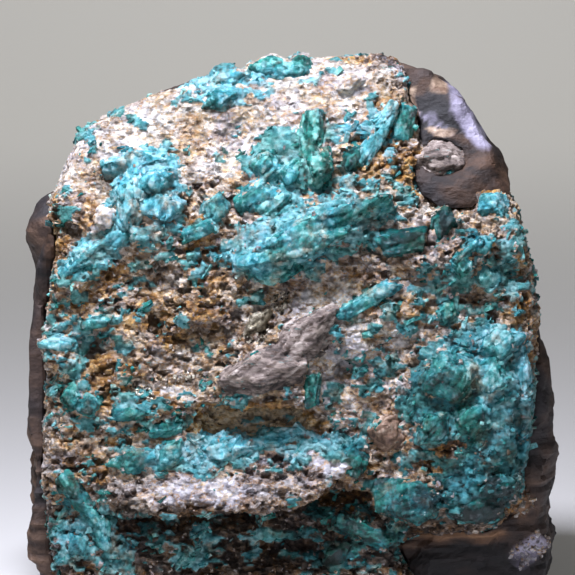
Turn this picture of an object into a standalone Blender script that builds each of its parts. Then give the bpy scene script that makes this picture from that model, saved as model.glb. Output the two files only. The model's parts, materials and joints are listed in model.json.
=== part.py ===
"""Emerald on matrix: a free-standing hand specimen of vein rock, 112 mm tall.

A slab of grey shale, the wall rock, carries a crust of white calcite vein on its front, about 101 mm wide.
Emeralds grew in the vein and stand in pockets of it. Grey rock fragments, calcite crystals and pyrite sit
beside them.

Frame: metres, +Z up, +X to the right of the crusted face, which looks along -Y. The origin is the middle of
the sawn base that the specimen stands on. Every length below is in millimetres and is turned to metres by MM.
"""

import math
import random

import bmesh
import bpy
from mathutils import Matrix, Vector, noise
from mathutils.bvhtree import BVHTree

MM = 0.001

# Driving dimensions of the block.
FRONT_DEPTH = 26.0        # from the origin's plane out to the crusted face
BACK_DEPTH = 29.0         # and back to the rear face
LEAN_START = 80.0         # height above which the face leans back
BELOW_BASE = -4.0         # the rough block starts here and is sawn off at 0
FIT_GAP = 0.32            # room between crystals that touch
POCKET_GAP = 0.42         # between a crystal and its pocket in the rock
CRUST_GAP = 0.75          # and between the crust and the wall rock
BLOCK_VOXEL = 1.1         # grain of the bodies before their facets are made
CRUST_SHARE = 0.033       # share of the fine triangles that the crust keeps
WALL_SHARE = 0.022        # and the wall rock
CRUST_FACETS = 5300       # most triangles that the finished crust has
WALL_FACETS = 1700        # and the wall rock

# Silhouette of the specimen from the front: (across, up), anticlockwise from the lower left.
SILHOUETTE = [
    (-49.6, BELOW_BASE), (49.6, BELOW_BASE), (51.6, 15.0), (50.2, 22.0), (51.2, 34.0), (50.2, 45.0),
    (48.0, 56.0), (45.4, 70.0), (42.8, 80.0), (41.6, 88.0), (40.0, 92.5), (37.0, 96.8), (34.0, 101.0),
    (30.0, 105.4), (25.4, 108.6), (20.0, 111.0), (8.0, 111.0), (-2.0, 109.4), (-13.0, 107.8),
    (-20.0, 105.6), (-29.3, 102.6), (-36.0, 99.6), (-40.4, 97.2), (-43.8, 92.0), (-46.4, 84.0),
    (-49.4, 70.0), (-50.9, 56.0), (-51.2, 42.0), (-50.4, 24.0),
]

# Planes that knock the square edges off the block: a point on the plane, and the way that its waste lies.
CHAMFERS = [
    ((0, -FRONT_DEPTH, LEAN_START), (0.00, -0.90, 0.44)),   # the top of the face leans back
    ((0, -11, 109), (0.00, -0.50, 0.87)),
    ((46.5, -21, 40), (0.90, -0.44, 0.00)),   # right front corner
    ((-48.0, -25, 40), (-0.88, -0.47, 0.02)),  # left front corner
    ((-39, -20, 95), (-0.62, -0.45, 0.64)),   # upper left shoulder
    ((38, -18, 92), (0.66, -0.52, 0.54)),     # upper right shoulder
    ((0, 12, 107), (-0.06, 0.50, 0.86)),      # top, back
    ((10, 26, 84), (0.10, 0.86, 0.50)),
    ((44, 18, 50), (0.80, 0.60, 0.05)),       # right back corner
    ((-42, 20, 50), (-0.76, 0.65, 0.08)),     # left back corner
    ((-30, 24, 84), (-0.42, 0.62, 0.66)),
    ((34, 24, 20), (0.45, 0.85, -0.28)),      # lower back
    ((-20, 29, 12), (-0.10, 0.93, -0.35)),
]

# Outline of the vein crust from the front. Where it passes the silhouette, the crust reaches the block's
# own edge.
VEIN_OUTLINE = [
    (-45.6, -10), (25.0, -10), (25.0, 9.0), (20.5, 13.8), (18.5, 19.0), (24.0, 21.0), (37.5, 21.4),
    (41.0, 24.6), (44.2, 28.5), (43.4, 33.5), (44.8, 40.0), (45.6, 50.0), (46.0, 61.0), (60.0, 64.0),
    (60.0, 85.5), (41.0, 85.6), (35.6, 83.4), (28.0, 82.4), (22.4, 86.6), (22.2, 90.6), (23.8, 94.0),
    (23.6, 100.0), (21.4, 104.5), (20.0, 120.0), (-60, 120), (-60, 88), (-44.6, 80), (-45.4, 72),
    (-46.6, 66.0), (-47.4, 59.0), (-47.0, 51.0), (-48.0, 44.0), (-47.8, 28.0), (-46.4, 22.0),
]
VEIN_WALL_Y = -14.0       # where the vein's back wall meets the base
VEIN_WALL_LEAN = 0.15     # and how far back it goes for each unit up

# How far the shale stands back behind the crust's edge, low down on the face and high up on it.
STEP_LOW, STEP_HIGH = 7.0, 1.4
STEP_TURN = (64.0, 82.0)

# Lumps and dents of the face: across, up, half length, half width, tilt in degrees, height
# (a dent is negative).
SWELLS = [
    (33.0, 43.0, 13.5, 19.0, 0, 4.4),      # the large mass of emerald on the right
    (23.0, 28.0, 8.0, 5.5, 0, 2.8),
    (36.0, 28.0, 8.0, 5.0, 0, 2.4),
    (-30.0, 87.0, 8.5, 8.0, 0, 2.0),       # the turquoise mass on the left
    (3.0, 80.0, 16.0, 6.0, 22, 2.6),       # the banded mass across the middle
    (-1.0, 58.0, 14.0, 7.0, 38, 2.2),      # the grey ramp
    (-40.0, 42.0, 8.0, 14.0, 0, 1.4),
    (-14.0, 104.0, 14.0, 5.0, 10, 1.4),
    (16.0, 62.0, 14.0, 4.5, 28, 1.6),
    (30.0, 76.0, 10.0, 6.0, 0, 1.8),
    (8.0, 92.0, 10.0, 6.0, 0, 1.2),
    (-22.0, 62.0, 9.0, 5.0, 10, 1.2),
    (41.5, 72.0, 3.0, 2.8, 0, -3.6),       # pits from here on
    (-35.2, 89.0, 2.4, 3.8, 0, -3.8),
    (-38.8, 57.6, 3.6, 3.0, 0, -3.8),
    (6.2, 87.4, 2.8, 3.0, 20, -3.8),
    (9.2, 91.0, 2.4, 2.2, 0, -3.0),
    (-3.4, 78.0, 1.8, 1.6, 0, -2.4),
    (9.6, 53.0, 2.0, 3.4, 0, -3.2),
    (9.4, 39.6, 3.0, 2.6, -20, -3.4),
    (-26.0, 62.4, 2.4, 2.4, 0, -2.8),
    (-19.0, 84.8, 2.2, 2.0, 0, -2.4),
    (-27.6, 85.0, 1.6, 1.8, 0, -2.2),
    (-10.3, 94.0, 6.0, 5.0, 0, -2.0),
    (-17.0, 59.6, 8.0, 3.0, 6, -2.6),
    (-27.0, 70.0, 7.0, 3.5, 0, -1.8),
    (-43.0, 79.6, 4.0, 2.0, 0, -2.2),
    (-8.6, 52.0, 4.0, 2.0, 0, -2.0),
    (-30.0, 28.0, 4.0, 2.5, 0, -2.2),
    (-45.0, 26.2, 5.5, 1.0, 0, -2.8),      # the crack low on the left edge
]

# Ledges: across, height of the lip, half length, height of the slope above it, tilt, how far the lip
# stands out.
LEDGES = [
    (-15.0, 28.2, 21.0, 12.0, 3, 6.6),     # the long white ledge
    (7.0, 34.0, 5.5, 8.0, 24, 4.4),        # and its rise on the right
    (-4.6, 48.0, 8.6, 9.0, 3, 4.2),        # the grey ledge above the brown hollow
    (-40.5, 70.0, 8.0, 5.0, 28, 2.2),
    (-43.0, 55.0, 4.5, 4.0, 0, 1.8),
    (21.5, 74.0, 7.0, 5.0, 5, 2.0),
    (-22.0, 46.0, 9.0, 3.5, 10, 1.8),
    (-24.0, 79.0, 7.0, 4.0, 14, 1.6),
]

# Beds of the shale that show below the crust on the right, written as ledges.
WALL_LEDGES = [
    (36.0, 19.6, 17.0, 4.6, -4, 3.0),
    (38.0, 14.2, 15.0, 4.2, 3, 2.2),
    (33.0, 8.0, 14.0, 4.0, -3, 1.6),
    (46.0, 36.0, 3.0, 9.0, 80, 1.6),
]

# Hollows: across, height of the roof, half length, height of the opening, tilt, depth at the roof.
HOLLOWS = [
    (-8.0, 47.4, 11.0, 8.4, 4, 6.6),
    (-20.0, 27.4, 15.0, 7.0, 0, 7.6),
    (9.0, 30.0, 10.0, 7.4, -3, 8.0),
    (-6.0, 20.5, 14.0, 5.0, 0, 3.4),
]

# Crystals and fragments. Each node has a material and the parts it is joined from:
# (shape, across, up, half length, half width, tilt in degrees, how far it stands out of the face).
CRYSTALS = {
    "emerald_crest": ("emerald_green", [
        ("lump", -3.4, 109.4, 4.6, 2.6, 8, 2.4), ("lump", 0.6, 110.2, 2.7, 2.2, 60, 2.2)]),
    "emerald_crest_pale": ("emerald_pale", [("lump", -12.9, 107.2, 3.8, 2.0, 12, 2.0)]),
    "emerald_below_crest": ("emerald_green", [("lump", -14.0, 103.7, 3.3, 1.8, 25, 1.9)]),
    "emerald_branching_mass": ("emerald_pale", [
        ("lump", -29.8, 92.4, 5.8, 1.9, 4, 1.9), ("lump", -31.2, 86.2, 6.2, 2.5, 86, 2.3),
        ("lump", -25.2, 84.2, 3.6, 2.2, 10, 2.3), ("lump", -26.6, 89.0, 2.8, 1.9, 20, 2.0)]),
    "emerald_slanting_streak": ("emerald_pale", [
        ("lump", -39.6, 75.0, 5.8, 1.9, 45, 1.9), ("lump", -33.4, 78.6, 3.2, 1.4, 16, 1.6)]),
    "emerald_side_splinter": ("emerald_green", [("prism", -18.2, 80.0, 3.4, 1.4, 20, 1.8)]),
    "emerald_side_block": ("emerald_pale", [("lump", -14.9, 84.0, 2.6, 2.2, 70, 1.9)]),
    "emerald_upper_prism": ("emerald_green", [
        ("prism", 3.2, 97.0, 4.8, 2.3, 84, 2.7), ("lump", 4.7, 91.8, 3.4, 2.2, 70, 2.5)]),
    "emerald_upper_column": ("emerald_green", [
        ("lump", -6.0, 85.4, 4.6, 3.0, 10, 2.4), ("lump", -5.2, 91.4, 2.9, 2.5, 85, 2.2),
        ("lump", -0.7, 89.9, 2.9, 2.1, 60, 2.1)]),
    "emerald_blade": ("emerald_pale", [("prism", 15.8, 97.2, 6.4, 1.5, 58, 3.0)]),
    "emerald_upper_block": ("emerald_green", [("prism", 20.8, 99.8, 3.1, 2.3, 80, 2.2)]),
    "emerald_dark_knot": ("emerald_dark", [("lump", 11.0, 92.6, 2.4, 1.9, 70, 2.0)]),
    "emerald_banded_mass": ("emerald_green", [
        ("lump", 0.6, 77.2, 10.2, 2.3, 18, 2.4), ("lump", 5.4, 81.6, 11.4, 2.2, 22, 2.8),
        ("lump", -4.4, 72.9, 5.0, 2.2, 6, 2.0)]),
    "emerald_gem_green": ("emerald_dark", [("prism", 20.8, 77.8, 4.3, 2.6, 6, 2.8)]),
    "emerald_gem_upright": ("emerald_dark", [("lump", 28.0, 81.0, 3.0, 2.2, 76, 2.3)]),
    "emerald_right_block": ("emerald_green", [
        ("lump", 31.8, 74.2, 2.6, 2.1, 80, 2.0), ("lump", 35.0, 77.4, 2.7, 1.5, 20, 1.8)]),
    "emerald_right_pale": ("emerald_pale", [("lump", 36.6, 71.2, 2.4, 2.3, 0, 2.0)]),
    "emerald_edge_upper": ("emerald_pale", [("lump", 37.6, 84.0, 3.0, 2.6, 50, 1.9)]),
    "emerald_long_prism": ("emerald_green", [("prism", 14.1, 66.8, 6.2, 1.8, 32, 2.4)]),
    "emerald_middle_block": ("emerald_green", [("lump", 28.9, 64.2, 2.6, 1.9, 80, 1.9)]),
    "emerald_right_mass": ("emerald_green", [
        ("lump", 29.4, 52.8, 5.0, 4.2, 20, 2.6), ("lump", 37.2, 52.4, 3.0, 3.0, 80, 2.2),
        ("lump", 33.8, 44.6, 4.2, 3.4, 60, 2.3), ("lump", 38.6, 58.6, 4.4, 2.7, 14, 2.2),
        ("lump", 26.6, 43.0, 3.4, 3.0, 40, 2.1)]),
    "emerald_edge_ridge": ("emerald_pale", [
        ("lump", 43.2, 53.2, 4.2, 1.6, 88, 1.4), ("lump", 42.6, 42.8, 6.4, 1.4, 88, 1.3)]),
    "emerald_lower_lobe": ("emerald_green", [("lump", 22.6, 28.2, 6.0, 3.5, 8, 2.8)]),
    "emerald_lower_dark": ("emerald_dark", [
        ("lump", 34.6, 26.8, 4.8, 2.4, 0, 2.4), ("lump", 39.2, 31.0, 3.8, 2.4, 12, 2.4)]),
    "emerald_ledge_band": ("emerald_pale", [
        ("lump", -12.4, 37.6, 6.2, 2.1, 8, 1.9), ("lump", -3.6, 39.6, 6.4, 2.0, 14, 2.0)]),
    "emerald_ledge_left": ("emerald_green", [
        ("lump", -23.8, 36.8, 3.4, 2.2, 60, 2.2), ("lump", -31.0, 35.9, 4.2, 2.3, 8, 2.2)]),
    "emerald_ledge_right": ("emerald_green", [("lump", 11.4, 35.2, 2.5, 2.2, 20, 1.9)]),
    "emerald_left_bar": ("emerald_green", [("prism", -24.4, 42.2, 3.0, 1.3, 5, 1.8)]),
    "emerald_left_bar_upper": ("emerald_green", [("prism", -32.1, 44.9, 3.0, 1.3, 6, 1.8)]),
    "emerald_left_pair": ("emerald_green", [
        ("lump", -42.4, 48.2, 2.4, 1.6, 88, 1.8), ("lump", -39.0, 46.8, 2.2, 2.0, 20, 1.9)]),
    "emerald_left_edge": ("emerald_pale", [("lump", -45.2, 58.4, 3.0, 1.3, 0, 1.6)]),
    "emerald_left_slip": ("emerald_green", [("prism", -38.0, 62.4, 2.9, 1.1, 6, 1.6)]),
    "emerald_hollow_prism": ("emerald_green", [("prism", 3.1, 49.6, 2.9, 1.6, 86, 1.9)]),
    "emerald_lower_left_prism": ("emerald_green", [
        ("prism", -40.4, 27.6, 6.2, 1.8, -52, 2.5), ("prism", -36.9, 21.6, 3.4, 1.7, -84, 2.2)]),
    "emerald_lower_left_chip": ("emerald_pale", [("lump", -41.6, 19.6, 2.3, 1.7, -60, 2.0)]),
    "emerald_lower_slant": ("emerald_green", [("prism", 12.9, 21.8, 5.8, 1.7, -25, 2.2)]),
    "emerald_lower_dark_pair": ("emerald_dark", [("lump", 8.0, 17.2, 3.0, 1.9, 40, 1.9)]),
    "shale_ramp": ("shale_grey", [
        ("lump", -5.6, 53.4, 7.4, 3.8, 12, 2.4), ("lump", 1.6, 59.6, 7.6, 3.8, 40, 2.2)]),
    "shale_clast": ("shale_grey", [("lump", 27.9, 92.2, 4.2, 3.3, -10, 1.6)]),
    "pink_calcite_block": ("calcite_pink", [("lump", 17.9, 41.0, 3.6, 3.2, 80, 2.0)]),
    "calcite_rhomb": ("calcite_white", [("lump", -35.6, 82.8, 2.1, 1.8, 30, 1.8)]),
    "calcite_rhomb_top": ("calcite_white", [("lump", 10.4, 106.6, 2.8, 1.6, 20, 1.6)]),
    "pyrite_cluster": ("pyrite", [("lump", -7.0, 62.4, 3.0, 1.5, 45, 1.6)]),
}


def smooth(low, high, value):
    """0 below low and 1 above high, with a soft step between."""
    t = min(1.0, max(0.0, (value - low) / (high - low)))
    return t * t * (3 - 2 * t)


def turned(x, z, tilt):
    """The offset (x, z) in axes turned by tilt degrees."""
    c, s = math.cos(math.radians(tilt)), math.sin(math.radians(tilt))
    return x * c + z * s, z * c - x * s


def outside(x, z, outline):
    """How far the point (x, z) lies outside a closed outline; negative inside it."""
    nearest = math.inf
    inside = False
    for (ax, az), (bx, bz) in zip(outline, outline[1:] + outline[:1]):
        ex, ez = bx - ax, bz - az
        t = ((x - ax) * ex + (z - az) * ez) / (ex * ex + ez * ez)
        t = min(1.0, max(0.0, t))
        nearest = min(nearest, math.hypot(x - ax - t * ex, z - az - t * ez))
        if (az > z) != (bz > z) and x < ax + (z - az) * ex / ez:
            inside = not inside
    return -nearest if inside else nearest


def swell(x, z, feature):
    """Height of a lump of the face at (x, z)."""
    across, up, length, width, tilt, height = feature
    u, v = turned(x - across, z - up, tilt)
    return height * (1 - smooth(0.45, 1.25, math.hypot(u / length, v / width)))


def ledge(x, z, feature):
    """How far a ledge stands out at (x, z): most at its lip, less up the slope above it."""
    across, lip, length, rise, tilt, height = feature
    u, v = turned(x - across, z - lip, tilt)
    ends = 1 - smooth(0.75, 1.15, abs(u) / length)
    return height * ends * smooth(-0.9, 0.9, v) * (1 - smooth(0.1, 1.0, v / rise))


def hollow(x, z, feature):
    """Height of the face in an overhung hollow at (x, z), which is negative."""
    across, roof, length, opening, tilt, depth = feature
    u, v = turned(x - across, roof - z, -tilt)
    ends = 1 - smooth(0.7, 1.1, abs(u) / length)
    return -depth * ends * smooth(-0.8, 0.8, v) * (1 - smooth(0.45, 1.1, v / opening))


def shards(point, size, seed):
    """Height of broken stone at a point: each cell of a loose lattice is one flat facet with its own tilt."""
    scaled = Vector(point) / size + Vector((seed * 7.3, seed * 1.9, seed * 4.1))
    cell = noise.voronoi(scaled)[1][0]
    shifts = [Vector((shift, -shift, 2 * shift)) for shift in (0, 31.4, 62.9)]
    tilt = Vector([noise.noise(cell * 3.7 + shift) for shift in shifts])
    return 1.4 * tilt.dot(scaled - cell) + 0.5 * noise.noise(cell * 5.3)


def roughness(place):
    """Height of the broken stone at a place, in facets of two sizes."""
    x, y, z = place
    return 1.3 * shards((x, y, z), 9.0, 1) + 0.8 * shards((x, y * 1.5, z * 1.7), 4.5, 2)


def behind_face(y, z):
    """How far a point lies behind the plain front face, which leans back above LEAN_START."""
    return y + FRONT_DEPTH - 0.49 * max(0, z - LEAN_START)


def step_at(z):
    """How far the shale's face stands back behind the crust's at a height."""
    return STEP_LOW + (STEP_HIGH - STEP_LOW) * smooth(*STEP_TURN, z)


def crust_shift(place, normal):
    """How a point of the smooth crust moves: ledges, swells and hollows on its face, broken facets."""
    x, y, z = place
    facing = smooth(0.25, 0.8, -normal.y)
    step = step_at(z)
    rim = 1 - smooth(step - 3.0, step - 0.5, behind_face(y, z))
    skyline = smooth(1.5, 3.5, -outside(x, z, VEIN_OUTLINE)) * smooth(-0.9, -0.2, -normal.y)
    move = normal * roughness(place) * max(facing, rim, skyline)
    if not facing:
        return move
    lips = sum(ledge(x, z, feature) for feature in LEDGES)
    rest = sum(swell(x, z, feature) for feature in SWELLS)
    rest += sum(hollow(x, z, feature) for feature in HOLLOWS)
    return move + Vector((0, -lips - rest, -0.45 * lips)) * facing


def wall_shift(place, normal):
    """How a point of the smooth wall rock moves: set back round the crust, bedding, a knob on the left."""
    x, y, z = place
    facing = smooth(0.25, 0.8, -normal.y)
    beds_proud = sum(ledge(x, z, feature) for feature in WALL_LEDGES) * facing
    move = Vector((0, max(0, step_at(z) - behind_face(y, z)) - beds_proud, 0))
    knob = 1 - smooth(0.4, 1.2, math.hypot((y - 2.0) / 9.0, (z - 78.5) / 8.5))
    move.x -= 4.4 * knob * smooth(0.3, 0.8, -normal.x)
    beds = 1.9 * noise.noise(Vector((x * 0.03, y * 0.22 + z * 0.10, z * 0.05))) * (1 - facing)
    bare = smooth(0.8, 2.5, max(outside(x, z, VEIN_OUTLINE), y - VEIN_WALL_Y - VEIN_WALL_LEAN * z))
    return move + normal * (1.8 * roughness(place) + beds) * bare


def evaluated(obj):
    """A new mesh with the object's modifiers applied."""
    graph = bpy.context.evaluated_depsgraph_get()
    graph.update()
    return bpy.data.meshes.new_from_object(obj.evaluated_get(graph))


def link(name, mesh):
    obj = bpy.data.objects.new(name, mesh)
    bpy.context.scene.collection.objects.link(obj)
    return obj


def refine(mesh, *steps):
    """The mesh after a row of modifiers, each given as (type, settings)."""
    helper = link("helper", mesh)
    for kind, settings in steps:
        modifier = helper.modifiers.new(kind.lower(), kind)
        for key, value in settings.items():
            setattr(modifier, key, value)
    made = evaluated(helper)
    bpy.data.objects.remove(helper)
    return made


def settled(mesh, digits=5):
    """The mesh with its places rounded, and its points and faces in an order set by their places alone."""
    places = [tuple(round(c, digits) for c in vert.co) for vert in mesh.vertices]
    order = sorted(range(len(places)), key=places.__getitem__)
    rank = {old: new for new, old in enumerate(order)}
    faces = []
    for face in mesh.polygons:
        corners = [rank[i] for i in face.vertices]
        first = corners.index(min(corners))
        faces.append(corners[first:] + corners[:first])
    made = bpy.data.meshes.new("settled")
    made.from_pydata([places[i] for i in order], [], sorted(faces))
    return made


def remeshed(mesh, size):
    """The mesh in even facets."""
    return settled(refine(mesh, ("REMESH", {"mode": "VOXEL", "voxel_size": size * MM})), 6)


def combined(mesh, operation, others):
    """A closed mesh joined with, cut by or kept inside the other closed meshes."""
    tools = bpy.data.collections.new("tools")
    bpy.context.scene.collection.children.link(tools)
    for other in others:
        tools.objects.link(bpy.data.objects.new("tool", other))
    step = {"operand_type": "COLLECTION", "collection": tools, "operation": operation, "solver": "EXACT"}
    made = refine(mesh, ("BOOLEAN", step))
    for tool in list(tools.objects):
        bpy.data.objects.remove(tool)
    bpy.data.collections.remove(tools)
    return made


def edited(mesh, change):
    """The mesh after change has worked on it as a bmesh."""
    bm = bmesh.new()
    bm.from_mesh(mesh)
    change(bm)
    bm.to_mesh(mesh)
    bm.free()
    return mesh


def prism_mesh(outline, y_front, y_back):
    """A closed outline in the XZ plane, extruded from y_front to y_back."""
    mesh = bpy.data.meshes.new("prism")

    def build(bm):
        face = bm.faces.new([bm.verts.new((x * MM, y_front * MM, z * MM)) for x, z in outline])
        grown = bmesh.ops.extrude_face_region(bm, geom=[face])["geom"]
        moved = [v for v in grown if isinstance(v, bmesh.types.BMVert)]
        bmesh.ops.translate(bm, verts=moved, vec=(0, (y_back - y_front) * MM, 0))
        bmesh.ops.recalc_face_normals(bm, faces=bm.faces)

    return edited(mesh, build)


def cut_away(bm, point, waste):
    """Cuts a closed bmesh by a plane, drops what lies on the waste side and closes the cut."""
    bmesh.ops.bisect_plane(
        bm, geom=bm.verts[:] + bm.edges[:] + bm.faces[:], dist=1e-7,
        plane_co=point, plane_no=waste, clear_outer=True,
    )
    bmesh.ops.holes_fill(bm, edges=[e for e in bm.edges if e.is_boundary], sides=0)
    bmesh.ops.recalc_face_normals(bm, faces=bm.faces)


def slab_mesh():
    """The block's plain form: the silhouette with its chamfers."""
    slab = prism_mesh(SILHOUETTE, -FRONT_DEPTH, BACK_DEPTH)

    def knock_off(bm):
        for point, waste in CHAMFERS:
            cut_away(bm, Vector(point) * MM, Vector(waste))
        bmesh.ops.triangulate(bm, faces=bm.faces)

    return edited(slab, knock_off)


def vein_mesh():
    """The room that the vein takes up: its outline, back to the wall that it grew on."""
    vein = prism_mesh(VEIN_OUTLINE, -60, 60)

    def stop_at_wall(bm):
        cut_away(bm, Vector((0, VEIN_WALL_Y * MM, 0)), Vector((0, 1, -VEIN_WALL_LEAN)).normalized())
        bmesh.ops.triangulate(bm, faces=bm.faces)

    return edited(vein, stop_at_wall)


def weathered(mesh, shift):
    """A rock body in fine facets: the plain form softened, moved by shift."""
    fine = remeshed(mesh, BLOCK_VOXEL)

    def weather(bm):
        for _ in range(3):
            bmesh.ops.smooth_vert(
                bm, verts=bm.verts, factor=0.5, use_axis_x=True, use_axis_y=True, use_axis_z=True,
            )
        bm.normal_update()
        moves = [shift(v.co / MM, v.normal) * MM for v in bm.verts]
        for vert, move in zip(bm.verts, moves):
            vert.co += move

    return remeshed(edited(fine, weather), BLOCK_VOXEL * 0.85)


def pinches(mesh):
    """How many edges lack the two faces that each edge of a closed body has, once close points are one."""

    def weld(bm):
        bmesh.ops.remove_doubles(bm, verts=bm.verts, dist=0.001 * MM)

    counts = {}
    for face in edited(mesh.copy(), weld).polygons:
        for key in face.edge_keys:
            counts[key] = counts.get(key, 0) + 1
    return sum(1 for count in counts.values() if count != 2)


def simplified(mesh, share):
    """The mesh with a share of its triangles, or a little less where that share would pinch it shut."""
    tries = []
    for less in range(8):
        tries.append(refine(mesh, ("DECIMATE", {"ratio": share * (1 - 0.02 * less)})))
        if not pinches(tries[-1]):
            return tries[-1]
    return min(tries, key=pinches)


def sawn(mesh, share):
    """A rock body in few facets, sawn off flat at the base."""
    even = remeshed(mesh, BLOCK_VOXEL * 0.85)

    def saw_base(bm):
        keep_largest(bm)
        cut_away(bm, Vector((0, 0, 0)), Vector((0, 0, -1)))

    return edited(simplified(even, share), saw_base)


def fattened(mesh, by):
    """A copy of a closed mesh with its surface moved out."""
    copy = mesh.copy()

    def fatten(bm):
        bm.normal_update()
        moves = [v.normal * min(1.8, v.calc_shell_factor()) * by * MM for v in bm.verts]
        for vert, move in zip(bm.verts, moves):
            vert.co += move

    return edited(copy, fatten)


def surface_tree(*meshes):
    """The surfaces of some meshes, for finding points on them."""
    points, faces = [], []
    for mesh in meshes:
        faces += [[i + len(points) for i in face.vertices] for face in mesh.polygons]
        points += [vert.co for vert in mesh.vertices]
    return BVHTree.FromPolygons(points, faces)


def without(mesh, cutters):
    """A body with room cut in it for every cutter that meets it."""
    tree = surface_tree(mesh)
    meeting = [cutter for cutter in cutters if tree.overlap(surface_tree(cutter))]
    return combined(mesh, "DIFFERENCE", meeting) if meeting else mesh


def face_point(tree, across, up):
    """Where the face lies at (across, up), and the way it looks; past the skyline, the nearest of the top."""
    hit, normal, _, _ = tree.ray_cast(Vector((across, -80, up)) * MM, Vector((0, 1, 0)))
    if hit is None or hit.y > -9 * MM:
        hit, normal, _, _ = tree.ray_cast(Vector((across, -10, 160)) * MM, Vector((0, 0, -1)))
    blend = Vector((normal.x * 0.5, min(-0.35, normal.y), normal.z * 0.5))
    return hit, blend.normalized()


def crystal_part(tree, shape, across, up, length, width, tilt, proud, rng):
    """One part of a crystal: a six-sided column or a broken lump, sunk in the face and standing proud."""
    hit, out = face_point(tree, across, up)
    sunk = min(3.2, 0.8 + 0.75 * width)
    depth = 0.5 * (proud + sunk)
    along = Vector((math.cos(math.radians(tilt)), 0, math.sin(math.radians(tilt))))
    along = (along - out * along.dot(out)).normalized()
    frame = Matrix((along, out.cross(along), out)).transposed().to_4x4()
    centre = hit + out * (proud - depth) * MM
    mesh = bpy.data.meshes.new("crystal")

    def build(bm):
        if shape == "prism":
            turn = Matrix.Rotation(math.radians(90), 4, "Y") @ Matrix.Rotation(rng.uniform(0, 1), 4, "Z")
            bmesh.ops.create_cone(
                bm, cap_ends=True, segments=6, radius1=1.06, radius2=0.94, depth=2.2, matrix=turn,
            )
            planes = [Vector((end, rng.uniform(-0.3, 0.3), rng.uniform(-0.3, 0.3))) for end in (1, -1)]
            planes = [way.normalized() for way in planes]
        else:
            bmesh.ops.create_cube(bm, size=2.3)
            planes = [Vector([rng.gauss(0, 1) for _ in range(3)]).normalized() for _ in range(3)]
            corners = [(sx, sy) for sx in (-1, 1) for sy in (-1, 1)]
            planes += [Vector((sx, sy, rng.uniform(0.2, 1.0))).normalized() for sx, sy in corners]
        for way in planes:
            cut_away(bm, way * rng.uniform(0.88, 1.0), way)
        bmesh.ops.scale(bm, verts=bm.verts, vec=Vector((length, width, depth)) * MM)
        bmesh.ops.transform(bm, verts=bm.verts, matrix=Matrix.Translation(centre) @ frame)
        bmesh.ops.dissolve_limit(bm, angle_limit=math.radians(2), verts=bm.verts, edges=bm.edges)
        bmesh.ops.triangulate(bm, faces=bm.faces)

    return edited(mesh, build)


def joined(bodies):
    """One closed body from some that overlap."""
    return combined(bodies[0], "UNION", bodies[1:]) if len(bodies) > 1 else bodies[0]


def keep_largest(bm):
    """Drops all but the largest of the bodies, which count as separate where they meet in a point only."""
    unseen = set(bm.faces)
    bodies = []
    while unseen:
        queue = [unseen.pop()]
        body = []
        while queue:
            face = queue.pop()
            body.append(face)
            near = {other for edge in face.edges for other in edge.link_faces} & unseen
            unseen -= near
            queue += near
        bodies.append(body)
    largest = max(bodies, key=len)
    scraps = [face for body in bodies if body is not largest for face in body]
    bmesh.ops.delete(bm, geom=scraps, context="FACES")


def triangulated(mesh, method):
    def build(bm):
        bmesh.ops.triangulate(bm, faces=bm.faces, quad_method="BEAUTY", ngon_method=method)
        keep_largest(bm)

    return edited(mesh.copy(), build)


def tidy(mesh, name, most):
    """The largest closed body of a mesh, as triangles, most at the most."""
    tries = [triangulated(mesh, method) for method in ("BEAUTY", "EAR_CLIP")]
    mesh = min(tries, key=pinches)
    if len(mesh.polygons) > most:
        mesh = simplified(mesh, most / len(mesh.polygons))
    mesh.name = name
    return mesh


def centre_on_base():
    """Moves every piece so that the middle of the specimen's box stands on the origin, with its base at 0."""
    points = [vert.co for obj in bpy.data.objects for vert in obj.data.vertices]
    for point in points:
        if point.z < 0.06 * MM:
            point.z = 0
    middle = [0.5 * (min(p[i] for p in points) + max(p[i] for p in points)) for i in (0, 1)]
    for obj in bpy.data.objects:
        obj.data.transform(Matrix.Translation((-middle[0], -middle[1], 0)))


def material(name, colour, roughness, metallic=0.0):
    made = bpy.data.materials.new(name)
    made.use_nodes = True
    shader = made.node_tree.nodes["Principled BSDF"]
    shader.inputs["Base Color"].default_value = (*colour, 1)
    shader.inputs["Roughness"].default_value = roughness
    shader.inputs["Metallic"].default_value = metallic
    return made


MATERIALS = {
    "shale": ((0.060, 0.045, 0.040), 0.85, 0.0),
    "calcite_vein": ((0.50, 0.36, 0.26), 0.75, 0.0),
    "emerald_pale": ((0.13, 0.50, 0.52), 0.35, 0.0),
    "emerald_green": ((0.03, 0.30, 0.30), 0.30, 0.0),
    "emerald_dark": ((0.008, 0.16, 0.13), 0.25, 0.0),
    "shale_grey": ((0.22, 0.19, 0.21), 0.80, 0.0),
    "calcite_pink": ((0.36, 0.22, 0.16), 0.70, 0.0),
    "calcite_white": ((0.62, 0.55, 0.62), 0.45, 0.0),
    "pyrite": ((0.40, 0.36, 0.24), 0.30, 1.0),
}


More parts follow.
